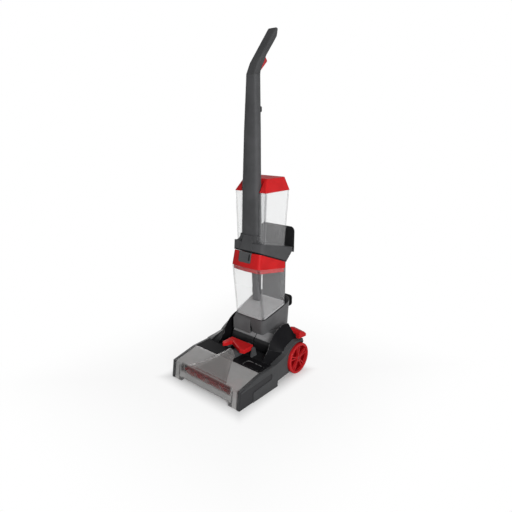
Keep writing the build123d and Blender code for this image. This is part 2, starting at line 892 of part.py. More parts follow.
# Brush hood behind the roll
hood_in_r = bristle_tip_r + hood_gap
with BuildPart() as hood:
    with BuildSketch(Plane.YZ.offset(-deck_wall_x)):
        with BuildLine():
            for radius in (hood_in_r, hood_in_r + hood_wall):
                CenterArc((brush_y, brush_z), radius, hood_from, hood_to - hood_from)
            for angle in (hood_from, hood_to):
                PolarLine(
                    (brush_y + hood_in_r * cos(radians(angle)), brush_z + hood_in_r * sin(radians(angle))),
                    hood_wall,
                    angle,
                )
        make_face()
    extrude(amount=2 * deck_wall_x)
    with BuildSketch(Plane.XZ.offset(-deck_front_y)):
        with Locations((0, brush_z)):
            with GridLocations(jet_pitch, 0, jet_count + 1, 1):
                Rectangle(hood_rib, 2 * hood_rib)
    extrude(amount=deck_front_y - brush_y - hood_in_r - hood_wall / 2)
keep(hood, "brush_hood")

# Brush roll
pulley_x = brush_half + pulley_gap
bearing_left_x = brush_half + pulley_gap
bearing_right_x = pulley_x + pulley_w + pulley_gap
with BuildPart() as core:
    with BuildSketch(Plane.YZ.offset(-brush_half)):
        with Locations((brush_y, brush_z)):
            Circle(brush_core_r)
    extrude(amount=2 * brush_half)
    with BuildSketch(Plane.YZ.offset(-rail_in_x + cover_gap)):
        with Locations((brush_y, brush_z)):
            Circle(stub_r)
    extrude(amount=2 * (rail_in_x - cover_gap))
    with BuildSketch(Plane.YZ.offset(pulley_x)):
        with Locations((brush_y, brush_z)):
            Circle(brush_pulley_r)
    extrude(amount=pulley_w)
keep(core, "brush_core")

strands = []
strand_pitch = 2 * (brush_half - bristle_margin) / (bristles_per_row - 1)
for row in range(bristle_rows):
    for n in range(bristles_per_row):
        along = -brush_half + bristle_margin + n * strand_pitch
        turn = radians(360 * (row / bristle_rows + bristle_turn * n / bristles_per_row))
        place = Plane(
            origin=(along, brush_y, brush_z),
            x_dir=(1, 0, 0),
            z_dir=(0, cos(turn), sin(turn)),
        ).offset(bristle_root_r - bristle_bite)
        root = place * Rectangle(bristle_w, bristle_w)
        strands.append(extrude(root, amount=bristle_tip_r - bristle_root_r + bristle_bite))

with BuildPart() as bristles:
    with BuildSketch(Plane.YZ.offset(-brush_half)):
        with Locations((brush_y, brush_z)):
            Circle(bristle_root_r)
            Circle(brush_core_r, mode=Mode.SUBTRACT)
    extrude(amount=2 * brush_half)
    add(strands)
keep(bristles, "brush_bristles")

for side, sign, start in (("left", -1, bearing_left_x), ("right", 1, bearing_right_x)):
    with BuildPart() as bearing:
        with BuildSketch(Plane.YZ.offset(sign * start)):
            with Locations((brush_y, brush_z)):
                RectangleRounded(2 * bearing_half, 2 * bearing_half, bearing_corner)
                Circle(stub_r + run, mode=Mode.SUBTRACT)
        extrude(amount=sign * (rail_in_x - start))
    keep(bearing, f"brush_bearing_{side}")

# Brush motor, its pulley and the belt
with BuildPart() as brush_motor:
    with BuildSketch(Plane.YZ.offset(motor_left_x)):
        with Locations((motor_y, motor_z)):
            Circle(motor_r)
    extrude(amount=motor_right_x - motor_left_x)
    fillet(brush_motor.edges().filter_by(GeomType.CIRCLE), motor_round)
    with BuildSketch(Plane.XY.offset(guard_low_z + pan_t)):
        with Locations(((motor_left_x + motor_right_x) / 2, motor_y)):
            Rectangle(*motor_foot)
    extrude(amount=motor_z - guard_low_z - pan_t)
    with BuildSketch(Plane.YZ.offset(motor_left_x)):
        with Locations((motor_y, motor_z)):
            Circle(shaft_r + run)
    extrude(amount=motor_right_x - motor_left_x, mode=Mode.SUBTRACT)
keep(brush_motor, "brush_motor")

with BuildPart() as motor_pulley:
    with BuildSketch(Plane.YZ.offset(motor_left_x)):
        with Locations((motor_y, motor_z)):
            Circle(shaft_r)
    extrude(amount=pulley_x + pulley_w - motor_left_x)
    with BuildSketch(Plane.YZ.offset(pulley_x)):
        with Locations((motor_y, motor_z)):
            Circle(motor_pulley_r)
    extrude(amount=pulley_w)
keep(motor_pulley, "motor_pulley")

with BuildPart() as belt:
    for grow, mode in ((belt_gap + belt_t, Mode.ADD), (belt_gap, Mode.SUBTRACT)):
        with BuildSketch(Plane.YZ.offset(pulley_x + belt_inset)):
            with Locations((brush_y, brush_z)):
                Circle(brush_pulley_r + grow)
            with Locations((motor_y, motor_z)):
                Circle(motor_pulley_r + grow)
            make_hull()
        extrude(amount=pulley_w - 2 * belt_inset, mode=mode)
keep(belt, "drive_belt")

# Spray bar with its jets, behind the brush hood
with BuildPart() as spray:
    spray_y = deck_front_y - spray_r - spray_gap[0]
    spray_z = deck_z - deck_t - spray_r - spray_gap[1]
    with BuildSketch(Plane.YZ.offset(-spray_half)):
        with Locations((spray_y, spray_z)):
            Circle(spray_r)
    extrude(amount=2 * spray_half)
    with BuildSketch(Plane.XY.offset(spray_z)):
        with Locations((0, deck_front_y - jet_lug[1] / 2)):
            with GridLocations(jet_pitch, 0, jet_count, 1):
                Rectangle(*jet_lug)
    extrude(amount=-2 * spray_r, both=True)
    with BuildSketch(Plane.XY.offset(spray_z - 3 * spray_r)):
        with Locations((0, spray_y)):
            with GridLocations(jet_pitch, 0, jet_count, 1):
                Circle(spray_r)
    extrude(amount=3 * spray_r, taper=-jet_taper)
keep(spray, "spray_bar")

# Suction elbow from the duct's neck to the drum
elbow_front_y = duct_neck_y + slip


def elbow_section(inset):
    """Sketch the elbow's section with its crowned roof, drawn in by inset."""
    half = elbow_half - inset
    top = elbow_top_z - inset
    with BuildSketch(Plane.XZ.offset(-elbow_front_y)) as section:
        with BuildLine():
            Polyline(
                (half, top - elbow_crown),
                (half, deck_z + inset),
                (-half, deck_z + inset),
                (-half, top - elbow_crown),
            )
            ThreePointArc((-half, top - elbow_crown), (0, top), (half, top - elbow_crown))
        make_face()
    return section.sketch


with BuildPart() as elbow:
    extrude(elbow_section(0), amount=elbow_front_y - pivot_y)
    extrude(elbow_section(elbow_wall), amount=elbow_front_y - pivot_y, mode=Mode.SUBTRACT)
    with BuildSketch(Plane.YZ.offset(-elbow_half)):
        with Locations((pivot_y, pivot_z)):
            Circle(shoe_r + drum_gap)
    extrude(amount=2 * elbow_half, mode=Mode.SUBTRACT)
keep(elbow, "suction_elbow")

# Nozzle latch on its bracket
latch_pin_z = latch_z + latch_pin_rise
with BuildPart() as latch:
    with BuildSketch(Plane.XY.offset(latch_z)):
        with BuildLine():
            FilletPolyline(
                (-latch_half, latch_rear_y),
                (latch_half - latch_heel[0], latch_rear_y),
                (latch_half, latch_rear_y - latch_heel[1]),
                (latch_half, latch_front_y + latch_wing[1]),
                (latch_half - latch_wing[0], latch_front_y + latch_wing[2]),
                (latch_scoop[0] - latch_half, latch_rear_y - latch_scoop[1]),
                (latch_horn[0] - latch_half, latch_front_y + latch_horn[1]),
                (latch_tip - latch_half, latch_front_y),
                (-latch_half, latch_front_y + latch_tip),
                radius=latch_corner,
                close=True,
            )
        make_face()
    extrude(amount=latch_t)
    fillet(latch.faces().sort_by(Axis.Z)[-1].edges(), latch_round)
    with BuildSketch(Plane.YZ.offset(-latch_half)):
        with Locations((latch_pin_y, latch_pin_z)):
            Circle(latch_pin_r + run)
    extrude(amount=2 * latch_half, mode=Mode.SUBTRACT)
keep(latch, "nozzle_latch")

with BuildPart() as bracket:
    with BuildSketch(Plane.YZ.offset(-latch_half - latch_ear_gap - latch_ear_t)):
        with Locations((latch_pin_y, latch_pin_z)):
            Circle(latch_pin_r)
    extrude(amount=2 * (latch_half + latch_ear_gap + latch_ear_t))
    for sign in (-1, 1):
        with BuildSketch(Plane.YZ.offset(sign * (latch_half + latch_ear_gap))):
            with BuildLine():
                Polyline(
                    (latch_pin_y - latch_ear_foot, deck_z),
                    (latch_pin_y - latch_ear_half, latch_pin_z),
                    (latch_pin_y, latch_pin_z + latch_ear_rise),
                    (latch_pin_y + latch_ear_half, latch_pin_z),
                    (latch_pin_y + latch_ear_foot, deck_z),
                    close=True,
                )
            make_face()
        extrude(amount=sign * latch_ear_t)
keep(bracket, "latch_bracket")

# Recline pedal on its bracket
pedal_pin_z = ledge_z + pedal_pin_rise
pedal_mid_x = (pedal_in_x + pedal_out_x) / 2
pedal_pin_length = pedal_out_x - pedal_in_x - pedal_pin_cover
with BuildPart() as pedal:
    for x, top in ((pedal_in_x, pedal_top_z), (pedal_out_x, pedal_top_z - pedal_shed)):
        with BuildSketch(Plane.YZ.offset(x)):
            with BuildLine():
                Polyline(
                    (ledge_y + pedal_gap, ledge_z + pedal_lift),
                    (ledge_y + pedal_gap, top - pedal_edge),
                    (ledge_y + pedal_brow, top),
                    (pedal_rear_y - pedal_shoulder, top - pedal_fall[0]),
                    (pedal_rear_y, top - pedal_fall[1]),
                    (pedal_rear_y, ledge_z + pedal_lift - pedal_droop),
                    close=True,
                )
            make_face()
    loft(ruled=True)
    chamfer(pedal.faces().sort_by(Axis.X)[-1].edges(), pedal_chamfer)
    with BuildSketch(Plane.YZ.offset(pedal_mid_x - pedal_lug / 2 - pedal_lug_gap)):
        with Locations((pedal_pin_y, pedal_pin_z)):
            Circle(pedal_lug_r + 2 * pedal_lug_gap)
        with Locations((pedal_pin_y, pedal_pin_z - pedal_pin_rise / 2)):
            Rectangle(2 * (pedal_lug_r + pedal_sweep), pedal_pin_rise)
    extrude(amount=pedal_lug + 2 * pedal_lug_gap, mode=Mode.SUBTRACT)
    with BuildSketch(Plane.YZ.offset(pedal_in_x)):
        with Locations((pedal_pin_y, pedal_pin_z)):
            Circle(pedal_pin_r + run)
    extrude(amount=pedal_pin_length, mode=Mode.SUBTRACT)
keep(pedal, "recline_pedal")

with BuildPart() as pedal_bracket:
    with BuildSketch(Plane.YZ.offset(pedal_mid_x - pedal_lug / 2)):
        with Locations((pedal_pin_y, pedal_pin_z)):
            Circle(pedal_lug_r)
        with Locations((pedal_pin_y, pedal_pin_z - pedal_pin_rise / 2)):
            Rectangle(2 * pedal_lug_r, pedal_pin_rise)
    extrude(amount=pedal_lug)
    with BuildSketch(Plane.YZ.offset(pedal_in_x)):
        with Locations((pedal_pin_y, pedal_pin_z)):
            Circle(pedal_pin_r)
    extrude(amount=pedal_pin_length - run)
keep(pedal_bracket, "pedal_bracket")

# Lower body: a tub that seats the dirty-water tank, grown out of the motor drum
tub_slope_front = (tank_front_low[0] - tub_low_front_y) / (tank_front_low[1] - tub_low_z)
tub_slope_half = (tank_half_front - tub_low_half) / (tank_front_low[1] - tub_low_z)
tub_top_z = tank_front_low[1] + tank_seat_rise * (tub_rear_y - tank_front_low[0]) / tank_depth + tub_wall


def tub_section(z, inset):
    """Sketch the tub's plan section at height z, drawn in by inset."""
    half = tub_low_half + tub_slope_half * (z - tub_low_z) - inset
    front = tub_low_front_y + tub_slope_front * (z - tub_low_z) + inset
    rear = tub_rear_y - inset
    rear_half = tub_rear_half - inset
    with BuildSketch(Plane.XY.offset(z)) as section:
        with BuildLine():
            Polyline((-half, front), (half, front), (rear_half, rear), (-rear_half, rear), close=True)
        make_face()
        corners = section.vertices().group_by(Axis.Y)
        fillet(corners[0], tub_corner - inset)
        fillet(section.vertices().group_by(Axis.Y)[-1], tub_rear_corner - inset)
    return section.sketch


def riser_section(y, inset):
    """Sketch the suction riser beside the tub on the plane at y, drawn in by inset."""
    with BuildSketch(Plane.XZ.offset(-y)) as section:
        with BuildLine():
            Polyline(
                (inset - tank_half_front, tank_low_z),
                (inset - riser_half, riser_shoulder_z),
                (inset - riser_half, tub_low_z + inset),
                (0, tub_low_z + inset),
                (0, tank_low_z),
                close=True,
            )
        make_face()
    return section.sketch


with BuildPart() as tub_core:
    loft([tub_section(tub_low_z, tub_wall), tub_section(tub_top_z, tub_wall)])
    loft([riser_section(y, tub_wall) for y in (riser_y[0] + tub_wall, riser_y[1] - tub_wall)])
    split(bisect_by=seat_plane.offset(-tub_wall), keep=Keep.BOTTOM)

with BuildPart() as tub_block:
    loft([tub_section(tub_low_z, 0), tub_section(tub_top_z, 0)])
    loft([riser_section(y, 0) for y in riser_y])
    split(bisect_by=seat_plane, keep=Keep.BOTTOM)

with BuildPart() as tub_room:
    loft([tub_section(z, -slip) for z in (tub_low_z, tub_top_z)])
    loft([riser_section(y, -slip) for y in (riser_y[0] - slip, riser_y[1] + slip)])

with BuildPart() as lower_body:
    add(tub_block.part)
    with BuildSketch(Plane.YZ.offset(-tub_tail_half)):
        with BuildLine():
            Polyline(
                (pivot_y, tub_low_z + past),
                (pivot_y, pivot_z),
                (tub_rear_y - tub_tail_slope, tub_tail_z),
                (tub_rear_y, tub_tail_z),
                (tub_rear_y, tub_low_z + past),
                close=True,
            )
        make_face()
    extrude(amount=2 * tub_tail_half)
    with BuildSketch(Plane.YZ.offset(-drum_half)):
        with Locations((pivot_y, pivot_z)):
            Circle(drum_r)
    extrude(amount=2 * drum_half)
    with BuildSketch(Plane.YZ.offset(-drum_half)):
        with Locations((pivot_y, pivot_z)):
            Circle(trunnion_r)
    extrude(amount=-(arch_in_x - drum_half - slip))
    add(tub_core.part, mode=Mode.SUBTRACT)
    with BuildSketch(Plane.YZ.offset(-drum_half + drum_wall)):
        with Locations((pivot_y, pivot_z)):
            Circle(drum_r - drum_wall)
    extrude(amount=2 * drum_half - drum_wall, mode=Mode.SUBTRACT)
    with BuildSketch(Plane.YZ.offset(-arch_in_x)):
        with Locations((pivot_y, pivot_z)):
            Circle(trunnion_bore_r)
    extrude(amount=arch_in_x - drum_half + drum_wall, mode=Mode.SUBTRACT)
    with BuildSketch(Plane.XY.offset(tub_low_z)):
        with Locations((0, tube_y)):
            Circle(tube_r + slip)
    extrude(amount=tub_top_z - tub_low_z, mode=Mode.SUBTRACT)
    with BuildSketch(Plane.XZ.offset(-tub_rear_y)):
        with Locations((0, switch_z)):
            Rectangle(2 * (switch_half[0] + slip), 2 * (switch_half[1] + switch_gap))
    extrude(amount=2 * tub_wall, mode=Mode.SUBTRACT)
    switch_reach = switch_half[0] + slip + switch_pin
    with BuildSketch(Plane.YZ.offset(-switch_reach)):
        with Locations((tub_rear_y - tub_wall / 2, switch_z)):
            Circle(switch_pin_r + run)
    extrude(amount=2 * switch_reach, mode=Mode.SUBTRACT)
keep(lower_body, "lower_body")

with BuildPart() as end_cap:
    with BuildSketch(Plane.YZ.offset(drum_half)):
        with Locations((pivot_y, pivot_z)):
            Circle(drum_r)
    extrude(amount=drum_wall)
    with BuildSketch(Plane.YZ.offset(drum_half)):
        with Locations((pivot_y, pivot_z)):
            Circle(drum_r - drum_wall - slip)
    extrude(amount=-drum_wall)
    with BuildSketch(Plane.YZ.offset(drum_half)):
        with Locations((pivot_y, pivot_z)):
            Circle(trunnion_r)
    extrude(amount=arch_in_x - drum_half - slip)
    with BuildSketch(Plane.YZ.offset(drum_half - drum_wall)):
        with Locations((pivot_y, pivot_z)):
            Circle(trunnion_bore_r)
    extrude(amount=arch_in_x - drum_half + drum_wall, mode=Mode.SUBTRACT)
keep(end_cap, "drum_end_cap")

# Two motor covers on the drum's front, faceted above and round below
shoe_top = (pivot_y - shoe_top_at[0], pivot_z + shoe_top_at[1])
shoe_nose = (pivot_y - shoe_nose_at[0], pivot_z + shoe_nose_at[1])
shoe_brow = around_pivot(shoe_r, shoe_brow_angle)
shoe_low = around_pivot(shoe_r, -shoe_low_angle)
shoe_in_r = drum_r + seat
shoe_in_start = around_pivot(shoe_in_r, degrees(atan2(shoe_top_at[1], shoe_top_at[0])))
shoe_in_low = around_pivot(shoe_in_r, -shoe_low_angle)
for side, left, right in (("left", -shoe_half, shoe_split[0]), ("right", shoe_split[1], shoe_half)):
    with BuildPart() as shoe:
        with BuildSketch(Plane.YZ.offset(left)):
            with BuildLine():
                Polyline(shoe_in_start, shoe_top, shoe_nose, shoe_brow)
                ThreePointArc(shoe_brow, around_pivot(shoe_r, 0), shoe_low)
                Line(shoe_low, shoe_in_low)
                ThreePointArc(shoe_in_low, around_pivot(shoe_in_r, 0), shoe_in_start)
            make_face()
        extrude(amount=right - left)
        add(tub_room.part, mode=Mode.SUBTRACT)
    keep(shoe, f"motor_cover_{side}")

# Suction motor and fan
with BuildPart() as suction_motor:
    with BuildSketch(Plane.YZ.offset(suction_motor_x[0])):
        with Locations((pivot_y, pivot_z)):
            Circle(suction_motor_r)
    extrude(amount=suction_motor_x[1] - suction_motor_x[0])
    fillet(suction_motor.edges().filter_by(GeomType.CIRCLE), suction_motor_round)
    with BuildSketch(Plane.YZ.offset(suction_motor_x[1])):
        with Locations((pivot_y, pivot_z)):
            Circle(trunnion_r)
    extrude(amount=drum_half - drum_wall - suction_motor_x[1])
    with BuildSketch(Plane.YZ.offset(suction_motor_x[0])):
        with Locations((pivot_y, pivot_z)):
            Circle(fan_shaft_r + run)
    extrude(amount=suction_motor_x[1] - suction_motor_x[0], mode=Mode.SUBTRACT)
keep(suction_motor, "suction_motor")

with BuildPart() as fan:
    with BuildSketch(Plane.YZ.offset(fan_x[0])):
        with Locations((pivot_y, pivot_z)):
            Circle(fan_hub_r)
    extrude(amount=fan_x[1] - fan_x[0])
    with BuildSketch(Plane.YZ.offset(fan_x[1] - fan_plate)):
        with Locations((pivot_y, pivot_z)):
            Circle(fan_r)
    extrude(amount=fan_plate)
    with BuildSketch(Plane.YZ.offset(fan_x[0])):
        with Locations((pivot_y, pivot_z)):
            with PolarLocations(0, fan_blades):
                with Locations(((fan_hub_r + fan_r - fan_blade_t) / 2, 0)):
                    Rectangle(fan_r - fan_hub_r, fan_blade_t, rotation=fan_blade_lean)
    extrude(amount=fan_x[1] - fan_x[0])
    with BuildSketch(Plane.YZ.offset(fan_x[1])):
        with Locations((pivot_y, pivot_z)):
            Circle(fan_shaft_r)
    extrude(amount=suction_motor_x[1] - fan_shaft_short - fan_x[1])
keep(fan, "suction_fan")

# Pump in the tub
with BuildPart() as pump:
    with BuildSketch(Plane.XY.offset(tub_top_z)):
        with Locations((0, tube_y - tube_r)):
            RectangleRounded(2 * pump_half[0], 2 * pump_half[1], pump_corner)
    extrude(amount=-pump_h - tank_seat_rise)
    split(bisect_by=seat_plane.offset(-tub_wall), keep=Keep.BOTTOM)
    with BuildSketch(Plane.XY.offset(tub_top_z - pump_h - tank_seat_rise)):
        with Locations((0, tube_y - tube_r)):
            Circle(pump_nose[0])
    extrude(amount=-pump_nose[1])
keep(pump, "solution_pump")


def tank_plan(z, inset):
    """Plan of the dirty-water tank at height z, drawn in by inset."""
    return plan(
        z,
        on_line(z, (tank_low_z, tank_front_low[0]), (lid_low_z, lid_front_low[0])) + inset,
        tank_rear_y - inset,
        on_line(z, (tank_low_z, tank_half_front), (lid_low_z, tank_half_front_top)) - inset,
        on_line(z, (tank_low_z, tank_half_rear), (lid_low_z, tank_half_rear_top)) - inset,
        tank_corner - inset / 2,
        on_line(z, (tank_low_z, tank_bow[0]), (lid_low_z, tank_bow[1])),
    )


def lid_plan(z, inset):
    """Plan of the dirty tank's lid at height z, drawn in by inset."""
    return plan(
        z,
        on_line(z, (lid_low_z, lid_front_low[0]), (lid_top_z, lid_front_top[0])) + inset,
        tank_rear_y - inset,
        on_line(z, (lid_low_z, tank_half_front_top), (lid_top_z, lid_half_front)) - inset,
        on_line(z, (lid_low_z, tank_half_rear_top), (lid_top_z, lid_half_rear)) - inset,
        tank_corner - inset / 2,
        tank_bow[1],
    )


# Dirty-water tank, open at the top
with BuildPart() as tank_core:
    loft([tank_plan(tank_low_z, tank_wall), tank_plan(lid_low_z, tank_wall)])
    split(bisect_by=seat_plane.offset(slip + tank_wall), keep=Keep.TOP)

with BuildPart() as dirty_tank:
    loft([tank_plan(tank_low_z, 0), tank_plan(lid_low_z, 0)])
    split(bisect_by=seat_plane.offset(slip), keep=Keep.TOP)
    split(bisect_by=lid_plane, keep=Keep.BOTTOM)
    add(tank_core.part, mode=Mode.SUBTRACT)
keep(dirty_tank, "dirty_tank")

# Lid with a plug that drops into the tank and a rod for the float
lid_base_z = lid_low_z - lid_low_fall
plug_inset = tank_wall + slip
face_lean = (lid_front_top[0] - lid_front_low[0], lid_top_z - lid_low_z)
button_plane = Plane(
    origin=(0, on_line(button_z, lid_front_low[::-1], lid_front_top[::-1]) - tank_bow[1], button_z),
    x_dir=(1, 0, 0),
    z_dir=(0, -face_lean[1], face_lean[0]),
)
with BuildPart() as lid_core:
    loft([lid_plan(lid_base_z, lid_wall), lid_plan(lid_top_z, lid_wall)])
    split(bisect_by=parting_plane.offset(-lid_wall), keep=Keep.BOTTOM)

with BuildPart() as plug_core:
    loft([tank_plan(z, plug_inset + lid_wall) for z in (lid_base_z - plug_depth, lid_top_z)])

with BuildPart() as plug:
    loft([tank_plan(z, plug_inset) for z in (lid_base_z - plug_depth, lid_top_z)])
    split(bisect_by=lid_plane.offset(-plug_depth), keep=Keep.TOP)
    split(bisect_by=lid_plane, keep=Keep.BOTTOM)
    add(plug_core.part, mode=Mode.SUBTRACT)

with BuildPart() as plug_rim:
    loft([tank_plan(lid_base_z, tank_wall / 2), tank_plan(lid_top_z, tank_wall / 2)])
    split(bisect_by=lid_plane, keep=Keep.TOP)
    split(bisect_by=lid_plane.offset(plug_flange), keep=Keep.BOTTOM)
    add(plug_core.part, mode=Mode.SUBTRACT)

with BuildPart() as lid:
    loft([lid_plan(lid_base_z, 0), lid_plan(lid_top_z, 0)])
    split(bisect_by=lid_plane, keep=Keep.TOP)
    split(bisect_by=parting_plane, keep=Keep.BOTTOM)
    add(lid_core.part, mode=Mode.SUBTRACT)
    add(plug_rim.part)
    add(plug.part)
    with BuildSketch(button_plane.offset(button_proud)):
        RectangleRounded(button_w + 2 * slip, button_h + 2 * slip, button_r)
    extrude(amount=-button_t - 2 * lid_wall, mode=Mode.SUBTRACT)
    with BuildSketch(Plane.XY.offset(float_low_z - slip)):
        with Locations((float_x, float_y)):
            Circle(float_rod_r)
    extrude(until=Until.NEXT)
    with BuildSketch(Plane.XY.offset(float_low_z - slip)):
        with Locations((float_x, float_y)):
            Circle(float_stop[0])
    extrude(amount=-float_stop[1])
keep(lid, "tank_lid")

button_back = lid_wall + slip + tank_bow[1] * ((button_w / 2 + button_flange) / lid_half_front) ** 2
with BuildPart() as button:
    with BuildSketch(button_plane.offset(-button_back)):
        RectangleRounded(button_w + 2 * button_flange, button_h + 2 * button_flange, button_r)
    extrude(amount=button_back + button_proud - button_t)
    split(bisect_by=parting_plane.offset(-lid_wall - 2 * slip), keep=Keep.BOTTOM)
    with BuildSketch(button_plane.offset(button_proud)):
        RectangleRounded(button_w, button_h, button_r)
    extrude(amount=-button_t)
    split(bisect_by=parting_plane.offset(-button_gap), keep=Keep.BOTTOM)
    chamfer(button.faces().sort_by(Axis.Y)[0].edges(), button_proud / 2)
    with BuildSketch(button_plane.offset(button_proud)):
        with Locations((button_slot_x, 0)):
            SlotOverall(button_slot[1], button_slot[0], rotation=90)
    extrude(amount=-button_slot[2], mode=Mode.SUBTRACT)
keep(button, "tank_button")

with BuildPart() as separator:
    for inset, mode in ((0, Mode.ADD), (separator_wall, Mode.SUBTRACT)):
        for z, half in ((lid_top_z, separator_half_top), (separator_low_z, separator_half_low)):
            with BuildSketch(Plane.XY.offset(z)):
                with Locations((separator_x, separator_y)):
                    RectangleRounded(2 * (half[0] - inset), 2 * (half[1] - inset), separator_corner - inset)
        loft(mode=mode)
    split(bisect_by=parting_plane.offset(-lid_wall), keep=Keep.BOTTOM)
keep(separator, "separator")

with BuildPart() as tank_float:
    with BuildSketch(Plane.XY.offset(float_low_z)):
        with Locations((float_x, float_y)):
            Circle(float_r)
            Circle(float_rod_r + slip, mode=Mode.SUBTRACT)
    extrude(amount=float_h)
    chamfer(tank_float.edges().filter_by(GeomType.CIRCLE).sort_by(SortBy.RADIUS)[-2:], float_chamfer)
keep(tank_float, "tank_float")


def cradle_plan(z):
    """Plan of the cradle at height z."""
    low_z = cradle_rim_z - cradle_front_h
    return plan(
        z,
        on_line(z, (low_z, cradle_front_y - cradle_front_lean), (cradle_rim_z, cradle_front_y)),
        cradle_rear_y,
        on_line(z, (low_z, cradle_half_low), (cradle_rim_z, cradle_half)),
        on_line(z, (cradle_tail[1], cradle_half_low), (cradle_rim_z, cradle_half_rear)),
        cradle_corner,
        tank_bow[1],
    )


def clean_plan(z, grow):
    """Plan of the clean-water tank at height z, let out by grow."""
    half = on_line(z, (clean_low_z, clean_half), (clean_top_z, clean_half_top))
    rear = on_line(z, (clean_low_z, clean_rear_y), (clean_top_z, clean_rear_top_y))
    return plan(z, clean_front_y - grow, rear + grow, half + grow, half + grow, clean_corner + grow / 2)


def neck_plan(z, grow):
    """Plan of the neck at height z, let out by grow."""
    half = neck_at(z, neck_half) + grow
    bow = neck_at(z, neck_bow)
    front = neck_at(z, neck_front)
    rear = front + neck_at(z, neck_depth) + grow
    return plan(z, front + bow - grow, rear, half, half, neck_at(z, neck_corner) + grow, bow)


# Neck: two shells that meet along its sides
with BuildPart() as neck_block:
    loft([neck_plan(z, 0) for z in neck_z], ruled=True)
    split(bisect_by=rim_plane, keep=Keep.TOP)

with BuildPart() as neck_core:
    loft([neck_plan(z, -neck_wall) for z in neck_z], ruled=True)

neck_split = slope_plane(
    neck_front[0] + neck_depth[0] / 2,
    neck_z[0],
    neck_front[-1] + neck_depth[-1] / 2 - neck_front[0] - neck_depth[0] / 2,
    neck_z[-1] - neck_z[0],
)
screw_places = [screw_low_z + n * screw_pitch for n in range(screw_count)]
with BuildPart() as neck_shell_front:
    add(neck_block.part)
    add(neck_core.part, mode=Mode.SUBTRACT)
    split(bisect_by=neck_split, keep=Keep.TOP)
keep(neck_shell_front, "neck_front")

hook_face_y = neck_at(upper_hook_z, neck_front) + neck_at(upper_hook_z, neck_depth)
with BuildPart() as neck_shell_rear:
    add(neck_block.part)
    add(neck_core.part, mode=Mode.SUBTRACT)
    split(bisect_by=neck_split, keep=Keep.BOTTOM)
    for z in screw_places:
        rear_y = neck_at(z, neck_front) + neck_at(z, neck_depth)
        with BuildSketch(Plane.XZ.offset(screw_h - rear_y)):
            with Locations((0, z)):
                Circle(screw_r + slip)
        extrude(amount=-2 * screw_h, mode=Mode.SUBTRACT)
        with BuildSketch(Plane.XZ.offset(screw_h - rear_y)):
            with Locations((0, z)):
                Circle(screw_shank_r + slip)
        extrude(amount=neck_wall, mode=Mode.SUBTRACT)
    with BuildSketch(Plane.XZ.offset(-hook_face_y - neck_wall)):
        with Locations((0, upper_hook_z)):
            Circle(upper_hook_r + run)
    extrude(amount=3 * neck_wall, mode=Mode.SUBTRACT)
keep(neck_shell_rear, "neck_rear")

with BuildPart() as screws:
    for z in screw_places:
        rear_y = neck_at(z, neck_front) + neck_at(z, neck_depth)
        with BuildSketch(Plane.XZ.offset(screw_h - rear_y)):
            with Locations((0, z)):
                Circle(screw_r)
        extrude(amount=-screw_h)
        with BuildSketch(Plane.XZ.offset(screw_h - rear_y)):
            with Locations((0, z)):
                Circle(screw_shank_r)
        extrude(amount=neck_wall + screw_h)
keep(screws, "neck_screws")

# Grip with the trigger's slot and pin
with BuildPart() as grip:
    neck_rear_top = neck_front[-1] + neck_depth[-1]
    with BuildSketch(Plane.YZ.offset(-grip_half)) as profile:
        with BuildLine():
            Polyline(
                (neck_front[-1], neck_z[-1]),
                *grip_front,
                *grip_rear,
                (neck_rear_top, neck_z[-1]),
                close=True,
            )
        make_face()
        fillet(profile.vertices().filter_by(lambda v: v.Y > neck_z[-1] + past), grip_bend)
    extrude(amount=2 * grip_half)
    sides = grip.edges().filter_by(lambda e: abs(abs(e.center().X) - grip_half) < run)
    fillet(sides.filter_by(lambda e: e.center().Z > neck_z[-1] + past), grip_round)
    with BuildSketch(Plane.YZ.offset(-trigger_half - trigger_gap)):
        with BuildLine():
            Polyline(*trigger_room, close=True)
        make_face()
    extrude(amount=2 * (trigger_half + trigger_gap), mode=Mode.SUBTRACT)
    with BuildSketch(Plane.YZ.offset(-grip_half / 2 - trigger_half / 2)):
        with Locations(trigger_pin_at):
            Circle(trigger_pin_r)
    extrude(amount=grip_half + trigger_half)
keep(grip, "grip")

with BuildPart() as trigger:
    for outline in (trigger_wedge, trigger_heel):
        with BuildSketch(Plane.YZ.offset(-trigger_half)):
            with BuildLine():
                Polyline(*outline, close=True)
            make_face()
        extrude(amount=2 * trigger_half)
    with BuildSketch(Plane.YZ.offset(-trigger_half)):
        with Locations(trigger_pin_at):
            Circle(trigger_boss_r)
    extrude(amount=2 * trigger_half)
    with BuildSketch(Plane.YZ.offset(-trigger_half)):
        with Locations(trigger_pin_at):
            Circle(trigger_pin_r + run)
    extrude(amount=2 * trigger_half, mode=Mode.SUBTRACT)
keep(trigger, "trigger")

rod_axis = (0, rod_top[0] - rod_low[0], rod_top[1] - rod_low[1])
rod_length = hypot(*rod_axis)
rod_plane = Plane(origin=(0, *rod_low), x_dir=(1, 0, 0), z_dir=rod_axis)
with BuildPart() as rod:
    with BuildSketch(rod_plane):
        Circle(rod_r)
    extrude(amount=rod_length)
keep(rod, "trigger_rod")

# Cradle with the neck's collar, the carry plate and the valve's seat
with BuildPart() as cradle_block:
    loft([cradle_plan(cradle_tail[1]), cradle_plan(cradle_rim_z)])
    split(bisect_by=parting_plane.offset(cradle_gap), keep=Keep.TOP)
    split(bisect_by=rim_plane, keep=Keep.BOTTOM)
    split(bisect_by=tail_plane, keep=Keep.TOP)

